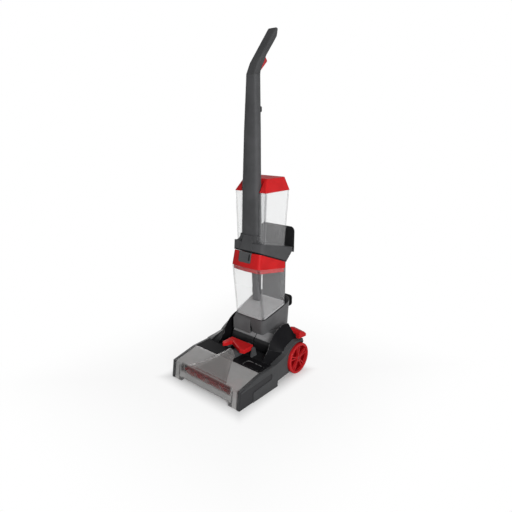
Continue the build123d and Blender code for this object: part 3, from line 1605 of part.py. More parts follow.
with BuildPart() as pocket:
    loft([clean_plan(cradle_tail[1], slip), clean_plan(cradle_rim_z + past, slip)])
    split(bisect_by=parting_plane.offset(pocket_floor), keep=Keep.TOP)
    with BuildSketch(Plane.XY.offset(cradle_tail[1])):
        with Locations((0, notch_y - slip - cradle_half)):
            Rectangle(2 * (notch_half - slip), 2 * cradle_half)
    extrude(amount=2 * cradle_rim_fall + cradle_rim_z - cradle_tail[1], mode=Mode.SUBTRACT)

with BuildPart() as grasp:
    with BuildSketch(Plane.XY.offset(cradle_rear_z - grasp_depth)):
        with Locations((0, (clean_rear_y + plate_y) / 2 + slip)):
            Rectangle(2 * grasp_half, plate_y - clean_rear_y - 2 * collar_wall)
    extrude(amount=grasp_depth + cradle_rim_fall)

with BuildPart() as collar:
    loft([neck_plan(neck_z[0], collar_wall), neck_plan(collar_top_z, collar_wall)])
    loft([neck_plan(neck_z[0], seat), neck_plan(collar_top_z, seat)], mode=Mode.SUBTRACT)

valve_along = (valve_y - lid_front_top[0]) / parting_plane.y_dir.Y
badge_low_y = cradle_front_y - cradle_front_lean - tank_bow[1] - badge_proud
with BuildPart() as cradle:
    add(cradle_block.part)
    add(pocket.part, mode=Mode.SUBTRACT)
    add(grasp.part, mode=Mode.SUBTRACT)
    add(collar.part)
    for sign in (-1, 1):
        with BuildSketch(Plane.XZ.offset(-flare_y[0])):
            with BuildLine():
                inner = sign * neck_half[0]
                outer = sign * flare_x
                TangentArc((inner, flare_z), (outer, cradle_rim_z), tangent=(0, -1))
                Polyline(
                    (outer, cradle_rim_z),
                    (outer, cradle_rim_z - flare_root),
                    (inner, cradle_rim_z - flare_root),
                    (inner, flare_z),
                )
            make_face()
        extrude(amount=flare_y[0] - flare_y[1])
    with BuildSketch(Plane.XZ.offset(-plate_y)) as plate:
        with BuildLine():
            Polyline(
                (-plate_half, cradle_rear_z - plate_corner),
                (-plate_half, plate_top_z),
                (plate_half, plate_top_z),
                (plate_half, cradle_rear_z - plate_corner),
                close=True,
            )
        make_face()
        fillet(plate.vertices().group_by(Axis.Y)[-1], plate_corner)
    extrude(amount=-plate_t)
    with BuildSketch(Plane.XZ.offset(-cradle_front_y)):
        with BuildLine():
            Polyline(
                (-badge_half[1], badge_low_z),
                (-badge_half[0], collar_top_z),
                (badge_half[0], collar_top_z),
                (badge_half[1], badge_low_z),
                close=True,
            )
        make_face()
    extrude(amount=cradle_front_y - badge_low_y)
    split(bisect_by=parting_plane.offset(cradle_gap), keep=Keep.TOP)
    add(neck_block.part, mode=Mode.SUBTRACT)
    split(
        bisect_by=slope_plane(badge_low_y, badge_low_z, badge_top_y - badge_low_y, collar_top_z - badge_low_z),
        keep=Keep.BOTTOM,
    )
    with BuildSketch(parting_plane):
        with Locations((0, valve_along)):
            Circle(valve_r + 2 * slip)
    extrude(amount=pocket_floor + past, mode=Mode.SUBTRACT)
    with BuildSketch(rod_plane):
        Circle(rod_r + slip)
    extrude(amount=rod_length, mode=Mode.SUBTRACT)
    with BuildSketch(rod_plane):
        Circle(rod_r + slip)
    extrude(amount=-rod_travel, mode=Mode.SUBTRACT)
keep(cradle, "cradle")

# Spine and the solution tube inside it
with BuildPart() as spine:
    for inset, mode in ((0, Mode.ADD), (spine_wall, Mode.SUBTRACT)):
        with BuildSketch(Plane.XY.offset(tank_low_z)):
            with Locations((0, (spine_front_y + spine_rear_y) / 2)):
                Rectangle(2 * (spine_half - inset), spine_depth - 2 * inset)
        extrude(amount=cradle_rear_z - tank_low_z, mode=mode)
    split(bisect_by=seat_plane, keep=Keep.TOP)
    add(cradle_block.part, mode=Mode.SUBTRACT)
    add(grasp.part, mode=Mode.SUBTRACT)
keep(spine, "spine")

with BuildPart() as tube:
    with BuildSketch(Plane.XY.offset(tank_low_z)):
        with Locations((0, tube_y)):
            Circle(tube_r)
            Circle(tube_bore_r, mode=Mode.SUBTRACT)
    extrude(amount=cradle_rear_z - tank_low_z)
    split(bisect_by=seat_plane.offset(-tub_wall), keep=Keep.TOP)
    add(cradle_block.part, mode=Mode.SUBTRACT)
keep(tube, "solution_tube")

# Clean-water tank, its valve and its cap
with BuildPart() as notch:
    with BuildSketch(Plane.XY.offset(cradle_tail[1])):
        with Locations((0, notch_y - cradle_half)):
            Rectangle(2 * notch_half, 2 * cradle_half)
    extrude(amount=clean_top_z + 2 * cap_h - cradle_tail[1])

with BuildPart() as notch_inner:
    with BuildSketch(Plane.XY.offset(cradle_tail[1])):
        with Locations((0, notch_y + clean_wall - cradle_half)):
            Rectangle(2 * (notch_half + clean_wall), 2 * cradle_half)
    extrude(amount=clean_top_z + 2 * cap_h - cradle_tail[1])

with BuildPart() as clean_core:
    loft([clean_plan(cradle_tail[1], -clean_wall), clean_plan(clean_top_z + past, -clean_wall)])
    split(bisect_by=parting_plane.offset(pocket_floor + slip + clean_wall), keep=Keep.TOP)
    add(notch_inner.part, mode=Mode.SUBTRACT)

with BuildPart() as clean_tank:
    loft([clean_plan(cradle_tail[1], 0), clean_plan(clean_top_z, 0)])
    split(bisect_by=parting_plane.offset(pocket_floor + slip), keep=Keep.TOP)
    add(notch.part, mode=Mode.SUBTRACT)
    add(clean_core.part, mode=Mode.SUBTRACT)
    with BuildSketch(parting_plane.offset(pocket_floor)):
        with Locations((0, valve_along)):
            Circle(valve_r + slip)
    extrude(amount=2 * clean_wall, mode=Mode.SUBTRACT)
keep(clean_tank, "clean_tank")

with BuildPart() as valve:
    with BuildSketch(parting_plane.offset(cradle_gap)):
        with Locations((0, valve_along)):
            Circle(valve_r)
    extrude(amount=cradle_floor + slip + clean_wall + valve_flange[1])
    with BuildSketch(parting_plane.offset(pocket_floor + slip + clean_wall)):
        with Locations((0, valve_along)):
            Circle(valve_flange[0])
    extrude(amount=valve_flange[1])
keep(valve, "tank_valve")


def cap_top(inset):
    """Plan of the cap's top face, drawn in by inset."""
    return plan(
        clean_top_z + cap_h - inset,
        cap_front_top_y + inset,
        cap_rear_top_y - inset,
        cap_half_top - inset,
        cap_half_top - inset,
        cap_corner_top,
    )


with BuildPart() as cap_core:
    loft([clean_plan(clean_top_z + seat, cap_over - cap_wall), cap_top(cap_wall)])
    add(notch_inner.part, mode=Mode.SUBTRACT)

with BuildPart() as cap:
    loft([clean_plan(clean_top_z + seat, cap_over), cap_top(0)])
    add(notch.part, mode=Mode.SUBTRACT)
    add(cap_core.part, mode=Mode.SUBTRACT)
keep(cap, "tank_cap")

# Cord hooks
with BuildPart() as upper_hook:
    with BuildSketch(Plane.XZ.offset(neck_wall + slip - hook_face_y)):
        with Locations((0, upper_hook_z)):
            Circle(upper_hook_r)
    extrude(amount=-upper_hook_out)
    with BuildSketch(Plane.XZ.offset(neck_wall + slip - hook_face_y)):
        with Locations((0, upper_hook_z)):
            Circle(upper_hook_flange[0])
    extrude(amount=upper_hook_flange[1])
    lip_face_y = hook_face_y - neck_wall - slip + upper_hook_out
    with BuildSketch(Plane.XZ.offset(upper_hook_lip[0] - lip_face_y)):
        with Locations((0, upper_hook_z + upper_hook_lip[1] / 2 - upper_hook_r)):
            RectangleRounded(2 * upper_hook_half, upper_hook_lip[1], upper_hook_corner)
    extrude(amount=-upper_hook_lip[0])
keep(upper_hook, "upper_cord_hook")

with BuildPart() as lower_hook:
    with BuildSketch(Plane.YZ.offset(-lower_hook_half)):
        with BuildLine():
            Polyline(
                (tub_rear_y, lower_hook_z),
                (lower_hook_end_y - lower_hook_t, lower_hook_z),
                (lower_hook_end_y, lower_hook_z + lower_hook_t),
                (lower_hook_end_y, lower_hook_z + lower_hook_h),
                (lower_hook_end_y - lower_hook_t, lower_hook_z + lower_hook_h),
                (lower_hook_end_y - lower_hook_t, lower_hook_z + lower_hook_t),
                (tub_rear_y, lower_hook_z + lower_hook_t),
                close=True,
            )
        make_face()
    extrude(amount=2 * lower_hook_half)
    fillet(lower_hook.edges().filter_by(Axis.Y).group_by(Axis.Z)[-1], lower_hook_round)
keep(lower_hook, "lower_cord_hook")

# Power switch and cord gland in the rear of the lower body
with BuildPart() as switch:
    with BuildSketch(Plane.XZ.offset(-tub_rear_y - switch_proud)):
        with Locations((0, switch_z)):
            Rectangle(2 * switch_half[0], 2 * switch_half[1])
    extrude(amount=switch_t)
    chamfer(switch.faces().sort_by(Axis.Y)[-1].edges(), switch_chamfer)
    with BuildSketch(Plane.YZ.offset(slip - switch_reach)):
        with Locations((tub_rear_y - tub_wall / 2, switch_z)):
            Circle(switch_pin_r)
    extrude(amount=2 * (switch_reach - slip))
keep(switch, "power_switch")

with BuildPart() as gland:
    with BuildSketch(Plane.XZ.offset(-tub_rear_y)):
        with Locations((gland_x, gland_z)):
            Circle(gland_r)
            Circle(gland_bore_r, mode=Mode.SUBTRACT)
    extrude(amount=-gland_len)
keep(gland, "cord_gland")
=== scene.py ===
"""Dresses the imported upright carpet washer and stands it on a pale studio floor."""

import logging
import math
import random
from dataclasses import dataclass
from enum import Enum
from typing import TypeAlias

import bmesh
import bpy
from mathutils import Matrix, Vector


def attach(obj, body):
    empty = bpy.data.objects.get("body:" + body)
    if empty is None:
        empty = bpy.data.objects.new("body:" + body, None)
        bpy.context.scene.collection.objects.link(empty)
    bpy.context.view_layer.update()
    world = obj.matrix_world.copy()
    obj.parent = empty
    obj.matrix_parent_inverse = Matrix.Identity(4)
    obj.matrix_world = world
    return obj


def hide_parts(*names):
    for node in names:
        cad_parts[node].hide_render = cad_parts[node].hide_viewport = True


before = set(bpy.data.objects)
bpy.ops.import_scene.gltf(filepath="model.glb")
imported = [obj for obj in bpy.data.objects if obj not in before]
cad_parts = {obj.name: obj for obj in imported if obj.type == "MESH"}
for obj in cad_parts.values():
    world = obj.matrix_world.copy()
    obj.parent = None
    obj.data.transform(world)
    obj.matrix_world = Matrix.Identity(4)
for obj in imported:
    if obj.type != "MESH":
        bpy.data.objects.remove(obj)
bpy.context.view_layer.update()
LOG = logging.getLogger("washer")

Colour: TypeAlias = tuple[float, float, float]
Triple: TypeAlias = tuple[float, float, float]
Span: TypeAlias = tuple[float, float]
Number: TypeAlias = "float | Socket"

WHITE: Colour = (1.0, 1.0, 1.0)
# The middle of a noise pattern's values.
MIDDLE = 0.5
# The attribute in which each brush strand keeps its shade.
SHADE = "shade"
# The tub's rim, on which the dirty tank sits: its height at y = 0, and its climb towards the rear.
TANK_SEAT = 0.1859
TANK_SEAT_CLIMB = 0.306


class Body(str, Enum):
    """The bodies that new pieces ride on."""

    BRUSH_ROLL = "brush_roll"


class Slot(str, Enum):
    """The record's material slots for new pieces."""

    BRISTLE = "bristle"


class Socket:
    """An output socket whose operators add Math nodes to its tree."""

    def __init__(self, tree: "FinishTree", socket: bpy.types.NodeSocket) -> None:
        """Keeps the tree and the socket that it wraps."""
        self.tree = tree
        self.socket = socket

    def _math(self, operation: str, first: Number, second: Number, clamp: bool = False) -> "Socket":
        """Adds one Math node.

        Args:
            operation: The Math node's operation.
            first: The first value or socket.
            second: The second value or socket.
            clamp: Whether the result is held between 0 and 1.

        Returns:
            The node's output.
        """
        settings = {"operation": operation, "use_clamp": clamp}
        return self.tree.node("ShaderNodeMath", settings, {0: first, 1: second})

    def __add__(self, other: Number) -> "Socket":
        """Adds a value or socket."""
        return self._math("ADD", self, other)

    __radd__ = __add__

    def __sub__(self, other: Number) -> "Socket":
        """Takes a value or socket away."""
        return self._math("SUBTRACT", self, other)

    def __rsub__(self, other: Number) -> "Socket":
        """Is taken away from a value."""
        return self._math("SUBTRACT", other, self)

    def __mul__(self, other: Number) -> "Socket":
        """Multiplies by a value or socket."""
        return self._math("MULTIPLY", self, other)

    __rmul__ = __mul__

    def __pow__(self, other: Number) -> "Socket":
        """Raises to a power."""
        return self._math("POWER", self, other)

    def held(self) -> "Socket":
        """Holds the value between 0 and 1."""
        return self._math("ADD", self, 0.0, clamp=True)

    def most(self, other: Number) -> "Socket":
        """Takes the larger of two values."""
        return self._math("MAXIMUM", self, other)

    def over(self, start: float, end: float) -> "Socket":
        """Rises smoothly from 0 at start to 1 at end.

        Args:
            start: The value that gives 0.
            end: The value that gives 1.

        Returns:
            The eased share.
        """
        inputs = {"Value": self, "From Min": start, "From Max": end}
        return self.tree.node("ShaderNodeMapRange", {"interpolation_type": "SMOOTHSTEP"}, inputs)


class FinishTree:
    """A material's node tree, built by one node-making method."""

    unstretched: Triple = (1.0, 1.0, 1.0)
    edge_samples: int = 4
    edge_span: Span = (0.01, 0.22)

    def __init__(self, name: str, tree: bpy.types.NodeTree | None = None) -> None:
        """Starts an empty tree.

        Args:
            name: The new material's name.
            tree: A tree that exists already, as the world's does.
        """
        self.material: bpy.types.Material | None = None
        if tree is None:
            self.material = bpy.data.materials.new(name)
            self.material.use_nodes = True
            tree = self.material.node_tree
        self.tree = tree
        self.tree.nodes.clear()

    def node(
        self,
        kind: str,
        settings: dict[str, object] | None = None,
        inputs: dict[str | int, object] | None = None,
        output: str | int = 0,
    ) -> Socket:
        """Adds a node, sets it, then feeds its sockets.

        Args:
            kind: The node's type.
            settings: Its properties, set first.
            inputs: A value or a Socket for each input socket.
            output: The output socket to return.

        Returns:
            The chosen output.
        """
        made = self.tree.nodes.new(kind)
        for key, value in (settings or {}).items():
            setattr(made, key, value)
        for key, value in (inputs or {}).items():
            if isinstance(value, Socket):
                self.tree.links.new(value.socket, made.inputs[key])
            else:
                made.inputs[key].default_value = value
        return Socket(self, made.outputs[output] if len(made.outputs) else made.inputs[0])

    def place(self, stretch: Triple = unstretched) -> Socket:
        """Gives Object coordinates, stretched along the axes.

        Args:
            stretch: How much the pattern is packed along x, y and z.

        Returns:
            The coordinates.
        """
        where = self.node("ShaderNodeTexCoord", output="Object")
        if stretch == self.unstretched:
            return where
        return self.node("ShaderNodeMapping", None, {"Vector": where, "Scale": stretch})

    def axis(self, where: Socket, name: str) -> Socket:
        """Gives one coordinate, X, Y or Z."""
        return self.node("ShaderNodeSeparateXYZ", None, {0: where}, name)

    def unsigned(self, value: Socket) -> Socket:
        """Gives a value without its sign."""
        return self.node("ShaderNodeMath", {"operation": "ABSOLUTE"}, {0: value})

    def vector(self, operation: str, *values: object, output: str | int = 0) -> Socket:
        """Adds one Vector Math node.

        Args:
            operation: The node's operation.
            values: The vectors or sockets that it takes.
            output: The output socket to return.

        Returns:
            The chosen output.
        """
        inputs = dict(enumerate(values))
        return self.node("ShaderNodeVectorMath", {"operation": operation}, inputs, output)

    def noise(
        self, where: Socket, scale: float, detail: float = 2.0, roughness: float = 0.5
    ) -> Socket:
        """Adds a noise pattern.

        Args:
            where: The coordinates.
            scale: Lumps per metre.
            detail: Finer layers on top.
            roughness: How strong those layers are.

        Returns:
            The pattern, from 0 to 1.
        """
        inputs = {"Vector": where, "Scale": scale, "Detail": detail, "Roughness": roughness}
        return self.node("ShaderNodeTexNoise", None, inputs)

    def blend(self, share: Number, first: object, second: object) -> Socket:
        """Mixes two colours.

        Args:
            share: How much of the second shows.
            first: The colour at 0.
            second: The colour at 1.

        Returns:
            The mixed colour.
        """
        inputs = {0: share, 6: paint(first), 7: paint(second)}
        return self.node("ShaderNodeMix", {"data_type": "RGBA"}, inputs, 2)

    def edge_rounding(self, radius: float) -> tuple[Socket, Socket]:
        """Finds the edges of a sharp-edged mesh.

        Args:
            radius: The edges' rounding in metres.

        Returns:
            The rounded normal, and a mask that is 1 on the edges.
        """
        rounded = self.node("ShaderNodeBevel", {"samples": self.edge_samples}, {"Radius": radius})
        flat = self.node("ShaderNodeNewGeometry", output="Normal")
        along = self.vector("DOT_PRODUCT", rounded, flat, output="Value")
        return rounded, (1.0 - along).over(*self.edge_span)

    def bump(
        self, height: Socket, depth: float, strength: float, normal: Socket | None = None
    ) -> Socket:
        """Turns a height pattern into a normal.

        Args:
            height: The pattern.
            depth: Its depth in metres.
            strength: How much of it shows.
            normal: The normal that it sits on.

        Returns:
            The bumped normal.
        """
        inputs = {"Height": height, "Distance": depth, "Strength": strength}
        if normal is not None:
            inputs["Normal"] = normal
        return self.node("ShaderNodeBump", None, inputs)

    def finish(self, shader: Socket) -> bpy.types.Material:
        """Shows a shader on the surface.

        Args:
            shader: The shader's output.

        Returns:
            The finished material.
        """
        self.node("ShaderNodeOutputMaterial", None, {"Surface": shader})
        assert self.material is not None
        return self.material


def paint(colour: object) -> object:
    """Gives a three-number colour its alpha of 1, and leaves a socket alone."""
    return colour if isinstance(colour, Socket) else (*colour, 1.0)


@dataclass(frozen=True)
class Zone:
    """A box, usually mirrored across x, in which a moulding takes a shade of its own."""

    low: Triple
    high: Triple
    colour: Colour = (0.0, 0.0, 0.0)
    soft: float = 0.0006
    mirrored: bool = True

    def mask(self, tree: FinishTree) -> Socket:
        """Marks the box.

        Args:
            tree: The tree to add to.

        Returns:
            1 inside the box and 0 outside it.
        """
        where = tree.place()
        share: Socket | None = None
        for axis, (low, high) in enumerate(zip(self.low, self.high)):
            along = tree.axis(where, "XYZ"[axis])
            if axis == 0 and self.mirrored:
                along = tree.unsigned(along)
            above = along.over(low - self.soft, low + self.soft)
            inside = above * (1.0 - along.over(high - self.soft, high + self.soft))
            share = inside if share is None else share * inside
        assert share is not None
        return share


@dataclass(frozen=True)
class Slope:
    """A band beside a plane that climbs towards the rear, with a shade of its own."""

    height: float
    climb: float
    low: float
    high: float
    colour: Colour = (0.0, 0.0, 0.0)
    soft: float = 0.0005

    def mask(self, tree: FinishTree) -> Socket:
        """Marks the band.

        Args:
            tree: The tree to add to.

        Returns:
            1 between the band's low and high offsets from the plane.
        """
        where = tree.place()
        over_plane = tree.axis(where, "Z") - tree.axis(where, "Y") * self.climb - self.height
        above = over_plane.over(self.low - self.soft, self.low + self.soft)
        return above * (1.0 - over_plane.over(self.high - self.soft, self.high + self.soft))


@dataclass(frozen=True)
class MouldedPlastic:
    """A dyed moulded plastic with a fine eroded grain, faint handling marks, and edges lightened
    both as wear and as a painted highlight.
    """

    name: str
    colour: Colour
    roughness: float
    specular: float = 0.08
    coat: float = 0.22
    coat_floor: float = 0.8
    coat_swing: float = 0.4
    coat_rough: float = 0.75
    grain: float = 1300.0
    grain_depth: float = 0.00008
    grain_strength: float = 0.25
    grain_rough: float = 0.10
    # Edges lighten both as real wear and as a painted highlight.
    edge_wear_and_highlight: float = 0.5
    wear_and_highlight_gain: float = 1.5
    wear_and_highlight_lift: float = 0.02
    wear_and_highlight_span: Span = (0.35, 0.65)
    wear_and_highlight_polish: float = 0.12
    clouding: float = 0.12
    cloud_span: Span = (0.3, 0.7)
    cloud_rough: float = 0.16
    mark_stretch: Triple = (60.0, 60.0, 9.0)
    mark_span: Span = (0.62, 0.78)
    mark_polish: float = 0.09
    edge_radius: float = 0.0011
    painted_shade_zones: tuple[Zone | Slope, ...] = ()

    def material(self) -> bpy.types.Material:
        """Makes the finish.

        Returns:
            The material.
        """
        tree = FinishTree(self.name)
        where = tree.place()
        grain = tree.noise(where, self.grain, detail=1.0)
        clouds = tree.noise(where, scale=14.0, detail=4.0, roughness=0.6)
        smears = tree.noise(tree.place(self.mark_stretch), scale=4.0, detail=3.0, roughness=0.6)
        marks = smears.over(*self.mark_span)
        # The edge mask lightens the colour both as wear and as a painted edge highlight.
        rounded, edges = tree.edge_rounding(self.edge_radius)
        patches = tree.noise(where, scale=90.0, detail=3.0).over(*self.wear_and_highlight_span)
        worn_and_highlit = edges * patches * self.edge_wear_and_highlight
        dark = tuple(c * (1.0 - self.clouding) for c in self.colour)
        pale = tuple(c * (1.0 + self.clouding) for c in self.colour)
        worn_and_highlit_colour = tuple(min(1.0, c * self.wear_and_highlight_gain + self.wear_and_highlight_lift) for c in self.colour)
        base = tree.blend(clouds.over(*self.cloud_span), dark, pale)
        # Each zone paints shade into a recess, a gap or a shadowed face.
        for zone in self.painted_shade_zones:
            base = tree.blend(zone.mask(tree), base, zone.colour)
        base = tree.blend(worn_and_highlit, base, worn_and_highlit_colour)
        rough = self.roughness + (clouds - MIDDLE) * self.cloud_rough
        rough = rough + (grain - MIDDLE) * self.grain_rough
        rough = rough - marks * self.mark_polish - worn_and_highlit * self.wear_and_highlight_polish
        inputs = {
            "Base Color": base,
            "Roughness": rough.held(),
            "Specular IOR Level": self.specular,
            "Coat Weight": (self.coat * (self.coat_floor + clouds * self.coat_swing)).held(),
            "Coat Roughness": self.roughness * self.coat_rough,
            "Normal": tree.bump(grain, self.grain_depth, self.grain_strength, rounded),
        }
        return tree.finish(tree.node("ShaderNodeBsdfPrincipled", None, inputs))


@dataclass(frozen=True)
class CornerShade:
    """The upright corners of a clear tank, painted darker as shade where the thick wall bends the
    light.

    The side wall's x is given at the origin, per metre of y and per metre of z, and the front and
    rear walls' y at the origin and per metre of z.
    """

    side: Triple
    front: Span
    rear: Span
    reach: float = 0.012
    core: float = 0.25

    def mask(self, tree: FinishTree) -> Socket:
        """Marks the corners.

        Args:
            tree: The tree to add to.

        Returns:
            1 on the corners and 0 on the flat walls.
        """
        where = tree.place()
        across = tree.unsigned(tree.axis(where, "X"))
        along = tree.axis(where, "Y")
        up = tree.axis(where, "Z")
        band = (-self.reach, -self.reach * self.core)
        out = across - along * self.side[1] - up * self.side[2] - self.side[0]
        fore = self.front[0] + up * self.front[1] - along
        aft = along - up * self.rear[1] - self.rear[0]
        ends = fore.over(*band).most(aft.over(*band))
        return out.over(*band) * ends


@dataclass(frozen=True)
class ClearPlastic:
    """A see-through moulding: a film that greys at grazing angles, with flow lines and dust, and
    painted shade and highlights at its corners and edges.
    """

    name: str
    film: Colour
    passed: Colour
    share: float
    edge_share: float
    edge_power: float
    roughness: float
    specular: float = 0.5
    flow_stretch: Triple = (26.0, 26.0, 5.0)
    flow_span: Span = (0.35, 0.65)
    flow_dim: float = 0.95
    flow_rough: float = 0.06
    flow_depth: float = 0.0004
    flow_strength: float = 0.12
    dust_span: Span = (0.60, 0.80)
    dust_rough: float = 0.06
    dust_share: float = 0.012
    facing_blend: float = 0.5
    edge_highlight: float = 0.0
    edge_radius: float = 0.0012
    frost: Slope | None = None
    frost_share: float = 0.3
    frost_floor: float = 0.85
    frost_swing: float = 0.3
    frost_rough: float = 0.6
    corner: CornerShade | None = None
    corner_share: float = 0.22
    corner_colour: Colour = (0.10, 0.10, 0.105)
    thin: Zone | None = None
    thin_share: float = 0.8
    shades: tuple[Zone, ...] = ()
    shade_share: float = 0.45

    def material(self) -> bpy.types.Material:
        """Makes the finish.

        Returns:
            The material.
        """
        tree = FinishTree(self.name)
        where = tree.place()
        flow = tree.noise(tree.place(self.flow_stretch), scale=1.6, detail=3.0, roughness=0.55)
        dust = tree.noise(where, scale=420.0).over(*self.dust_span)
        facing = tree.node("ShaderNodeLayerWeight", None, {"Blend": self.facing_blend}, "Facing")
        rounded, edges = tree.edge_rounding(self.edge_radius)
        dark = tuple(c * self.flow_dim for c in self.film)
        film = tree.blend(flow.over(*self.flow_span), dark, self.film)
        opacity = self.share + facing ** self.edge_power * self.edge_share
        rough = self.roughness + flow * self.flow_rough + dust * self.dust_rough
        if self.thin is not None:
            opacity = opacity * (1.0 - self.thin.mask(tree) * self.thin_share)
        if self.frost is not None:
            frost = self.frost.mask(tree)
            cover = frost * (self.frost_floor + flow * self.frost_swing) * self.frost_share
            opacity = opacity.most(cover)
            rough = rough + frost * self.frost_rough
        # Corners take painted shade: a darker film and more of it.
        if self.corner is not None:
            corner = self.corner.mask(tree)
            film = tree.blend(corner, film, self.corner_colour)
            opacity = opacity + corner * self.corner_share
        # Each shade zone paints darker film where shade falls.
        for zone in self.shades:
            dim = zone.mask(tree)
            film = tree.blend(dim, film, zone.colour)
            opacity = opacity.most(dim * self.shade_share)
        inputs = {
            "Base Color": film,
            "Roughness": rough.held(),
            "Specular IOR Level": self.specular,
            "Normal": tree.bump(flow, self.flow_depth, self.flow_strength, rounded),
        }
        body = tree.node("ShaderNodeBsdfPrincipled", None, inputs)
        clear = tree.node("ShaderNodeBsdfTransparent", None, {"Color": paint(self.passed)})
        # Edges take more of the pale film as a painted highlight.
        opacity = opacity + dust * self.dust_share + edges * self.edge_highlight
        mixed = tree.node("ShaderNodeMixShader", None, {0: opacity.held(), 1: clear, 2: body})
        return tree.finish(mixed)


@dataclass(frozen=True)
class Filament:
    """Nylon filament, darker at the root, each strand a shade of its own."""

    name: str
    root: Colour
    tip: Colour
    roughness: float = 0.34
    specular: float = 0.5
    speck: float = 700.0
    speck_swing: float = 0.3
    speck_rough: float = 0.2
    speck_depth: float = 0.0001
    speck_strength: float = 0.2

    def material(self) -> bpy.types.Material:
        """Makes the finish.

        Returns:
            The material.
        """
        tree = FinishTree(self.name)
        shade = tree.node("ShaderNodeAttribute", {"attribute_name": SHADE}, None, "Fac")
        speck = tree.noise(tree.place(), self.speck)
        along = (shade + (speck - MIDDLE) * self.speck_swing).held()
        inputs = {
            "Base Color": tree.blend(along, self.root, self.tip),
            "Roughness": (self.roughness + speck * self.speck_rough).held(),
            "Specular IOR Level": self.specular,
            "Normal": tree.bump(speck, self.speck_depth, self.speck_strength),
        }
        return tree.finish(tree.node("ShaderNodeBsdfPrincipled", None, inputs))


@dataclass(frozen=True)
class TurnedSteel:
    """Bright steel with fine turning marks across one axis."""

    name: str
    colour: Colour
    stretch: Triple
    roughness: float = 0.24
    line_rough: float = 0.18
    line_depth: float = 0.0001
    line_strength: float = 0.25
    stain_span: Span = (0.4, 0.7)
    stain_rough: float = 0.08
    stain_dim: float = 0.8

    def material(self) -> bpy.types.Material:
        """Makes the finish.

        Returns:
            The material.
        """
        tree = FinishTree(self.name)
        lines = tree.noise(tree.place(self.stretch), scale=30.0, detail=3.0, roughness=0.65)
        stain = tree.noise(tree.place(), scale=45.0, detail=3.0)
        dull = tuple(c * self.stain_dim for c in self.colour)
        rough = self.roughness + lines * self.line_rough + stain * self.stain_rough
        inputs = {
            "Base Color": tree.blend(stain.over(*self.stain_span), self.colour, dull),
            "Metallic": 1.0,
            "Roughness": rough.held(),
            "Normal": tree.bump(lines, self.line_depth, self.line_strength),
        }
        return tree.finish(tree.node("ShaderNodeBsdfPrincipled", None, inputs))


@dataclass(frozen=True)
class SoftRubber:
    """Matt black rubber with a dusty bloom."""

    name: str
    colour: Colour
    bloom: Colour
    roughness: float = 0.66
    specular: float = 0.35
    dust_span: Span = (0.45, 0.8)
    dust_share: float = 0.5
    dust_rough: float = 0.18
    pores: float = 1500.0
    pore_rough: float = 0.1
    pore_depth: float = 0.0001
    pore_strength: float = 0.3

    def material(self) -> bpy.types.Material:
        """Makes the finish.

        Returns:
            The material.
        """
        tree = FinishTree(self.name)
        where = tree.place()
        dust = tree.noise(where, scale=55.0, detail=4.0, roughness=0.65).over(*self.dust_span)
        pores = tree.noise(where, self.pores, detail=1.0)
        rough = self.roughness + dust * self.dust_rough + (pores - MIDDLE) * self.pore_rough
        inputs = {
            "Base Color": tree.blend(dust * self.dust_share, self.colour, self.bloom),
            "Roughness": rough.held(),
            "Specular IOR Level": self.specular,
            "Normal": tree.bump(pores, self.pore_depth, self.pore_strength),
        }
        return tree.finish(tree.node("ShaderNodeBsdfPrincipled", None, inputs))


Finish: TypeAlias = MouldedPlastic | ClearPlastic | Filament | TurnedSteel | SoftRubber

# Places in the finishes below are metres in the washer's own frame.
GREY = MouldedPlastic(
    "body_grey_moulded", (0.080, 0.081, 0.084), roughness=0.46, specular=0.02, coat=0.02
)
TOUCH_GREY = MouldedPlastic(
    "grip_grey_stippled",
    (0.066, 0.067, 0.069),
    roughness=0.56,
    specular=0.02,
    coat=0.02,
    grain=700.0,
    grain_strength=0.5,
)
# The dark band along the rim paints the shadow in the gap under the dirty tank.
TUB_GREY = MouldedPlastic(
    "tub_grey_moulded",
    (0.120, 0.121, 0.124),
    roughness=0.46,
    painted_shade_zones=(Slope(TANK_SEAT, TANK_SEAT_CLIMB, -0.0040, 0.0100, (0.012, 0.012, 0.013)),),
)
# The dark strip beside the button paints the shade in the gap around it.
BUTTON_GREY = MouldedPlastic(
    "button_grey_moulded",
    (0.080, 0.081, 0.084),
    roughness=0.46,
    painted_shade_zones=(
        Zone(
            (0.0160, -0.03, 0.391),
            (0.0220, 0.03, 0.412),
            (0.006, 0.006, 0.007),
            mirrored=False,
        ),
    ),
)
# Its lightened edges are partly a painted highlight.
BLACK = MouldedPlastic(
    "inner_black_moulded",
    (0.013, 0.013, 0.014),
    roughness=0.50,
    specular=0.02,
    coat=0.10,
    edge_wear_and_highlight=0.8,
    wear_and_highlight_lift=0.08,
)
# Broad, strongly lightened edges paint the highlight along the guards' edges and the belt cover's
# outline.
GUARD_BLACK = MouldedPlastic(
    "guard_black_moulded",
    (0.008, 0.008, 0.009),
    roughness=0.50,
    specular=0.0,
    coat=0.08,
    edge_wear_and_highlight=1.0,
    wear_and_highlight_lift=0.26,
    edge_radius=0.0028,
)
RED = MouldedPlastic(
    "red_satin",
    (0.55, 0.014, 0.016),
    roughness=0.34,
    specular=0.0,
    coat=0.20,
    grain_strength=0.15,
    edge_wear_and_highlight=0.2,
)
TRIGGER_RED = MouldedPlastic(
    "trigger_red_satin",
    (0.42, 0.030, 0.036),
    roughness=0.40,
    specular=0.0,
    grain_strength=0.15,
    edge_wear_and_highlight=0.2,
)
# The darker strip paints the shade on the rail's recessed panel.
RAIL_GREY = MouldedPlastic(
    "rail_grey_moulded",
    (0.047, 0.048, 0.050),
    roughness=0.46,
    specular=0.04,
    painted_shade_zones=(Zone((0.1500, -0.25, -0.01), (0.1528, -0.055, 0.062), (0.028, 0.028, 0.030)),),
)
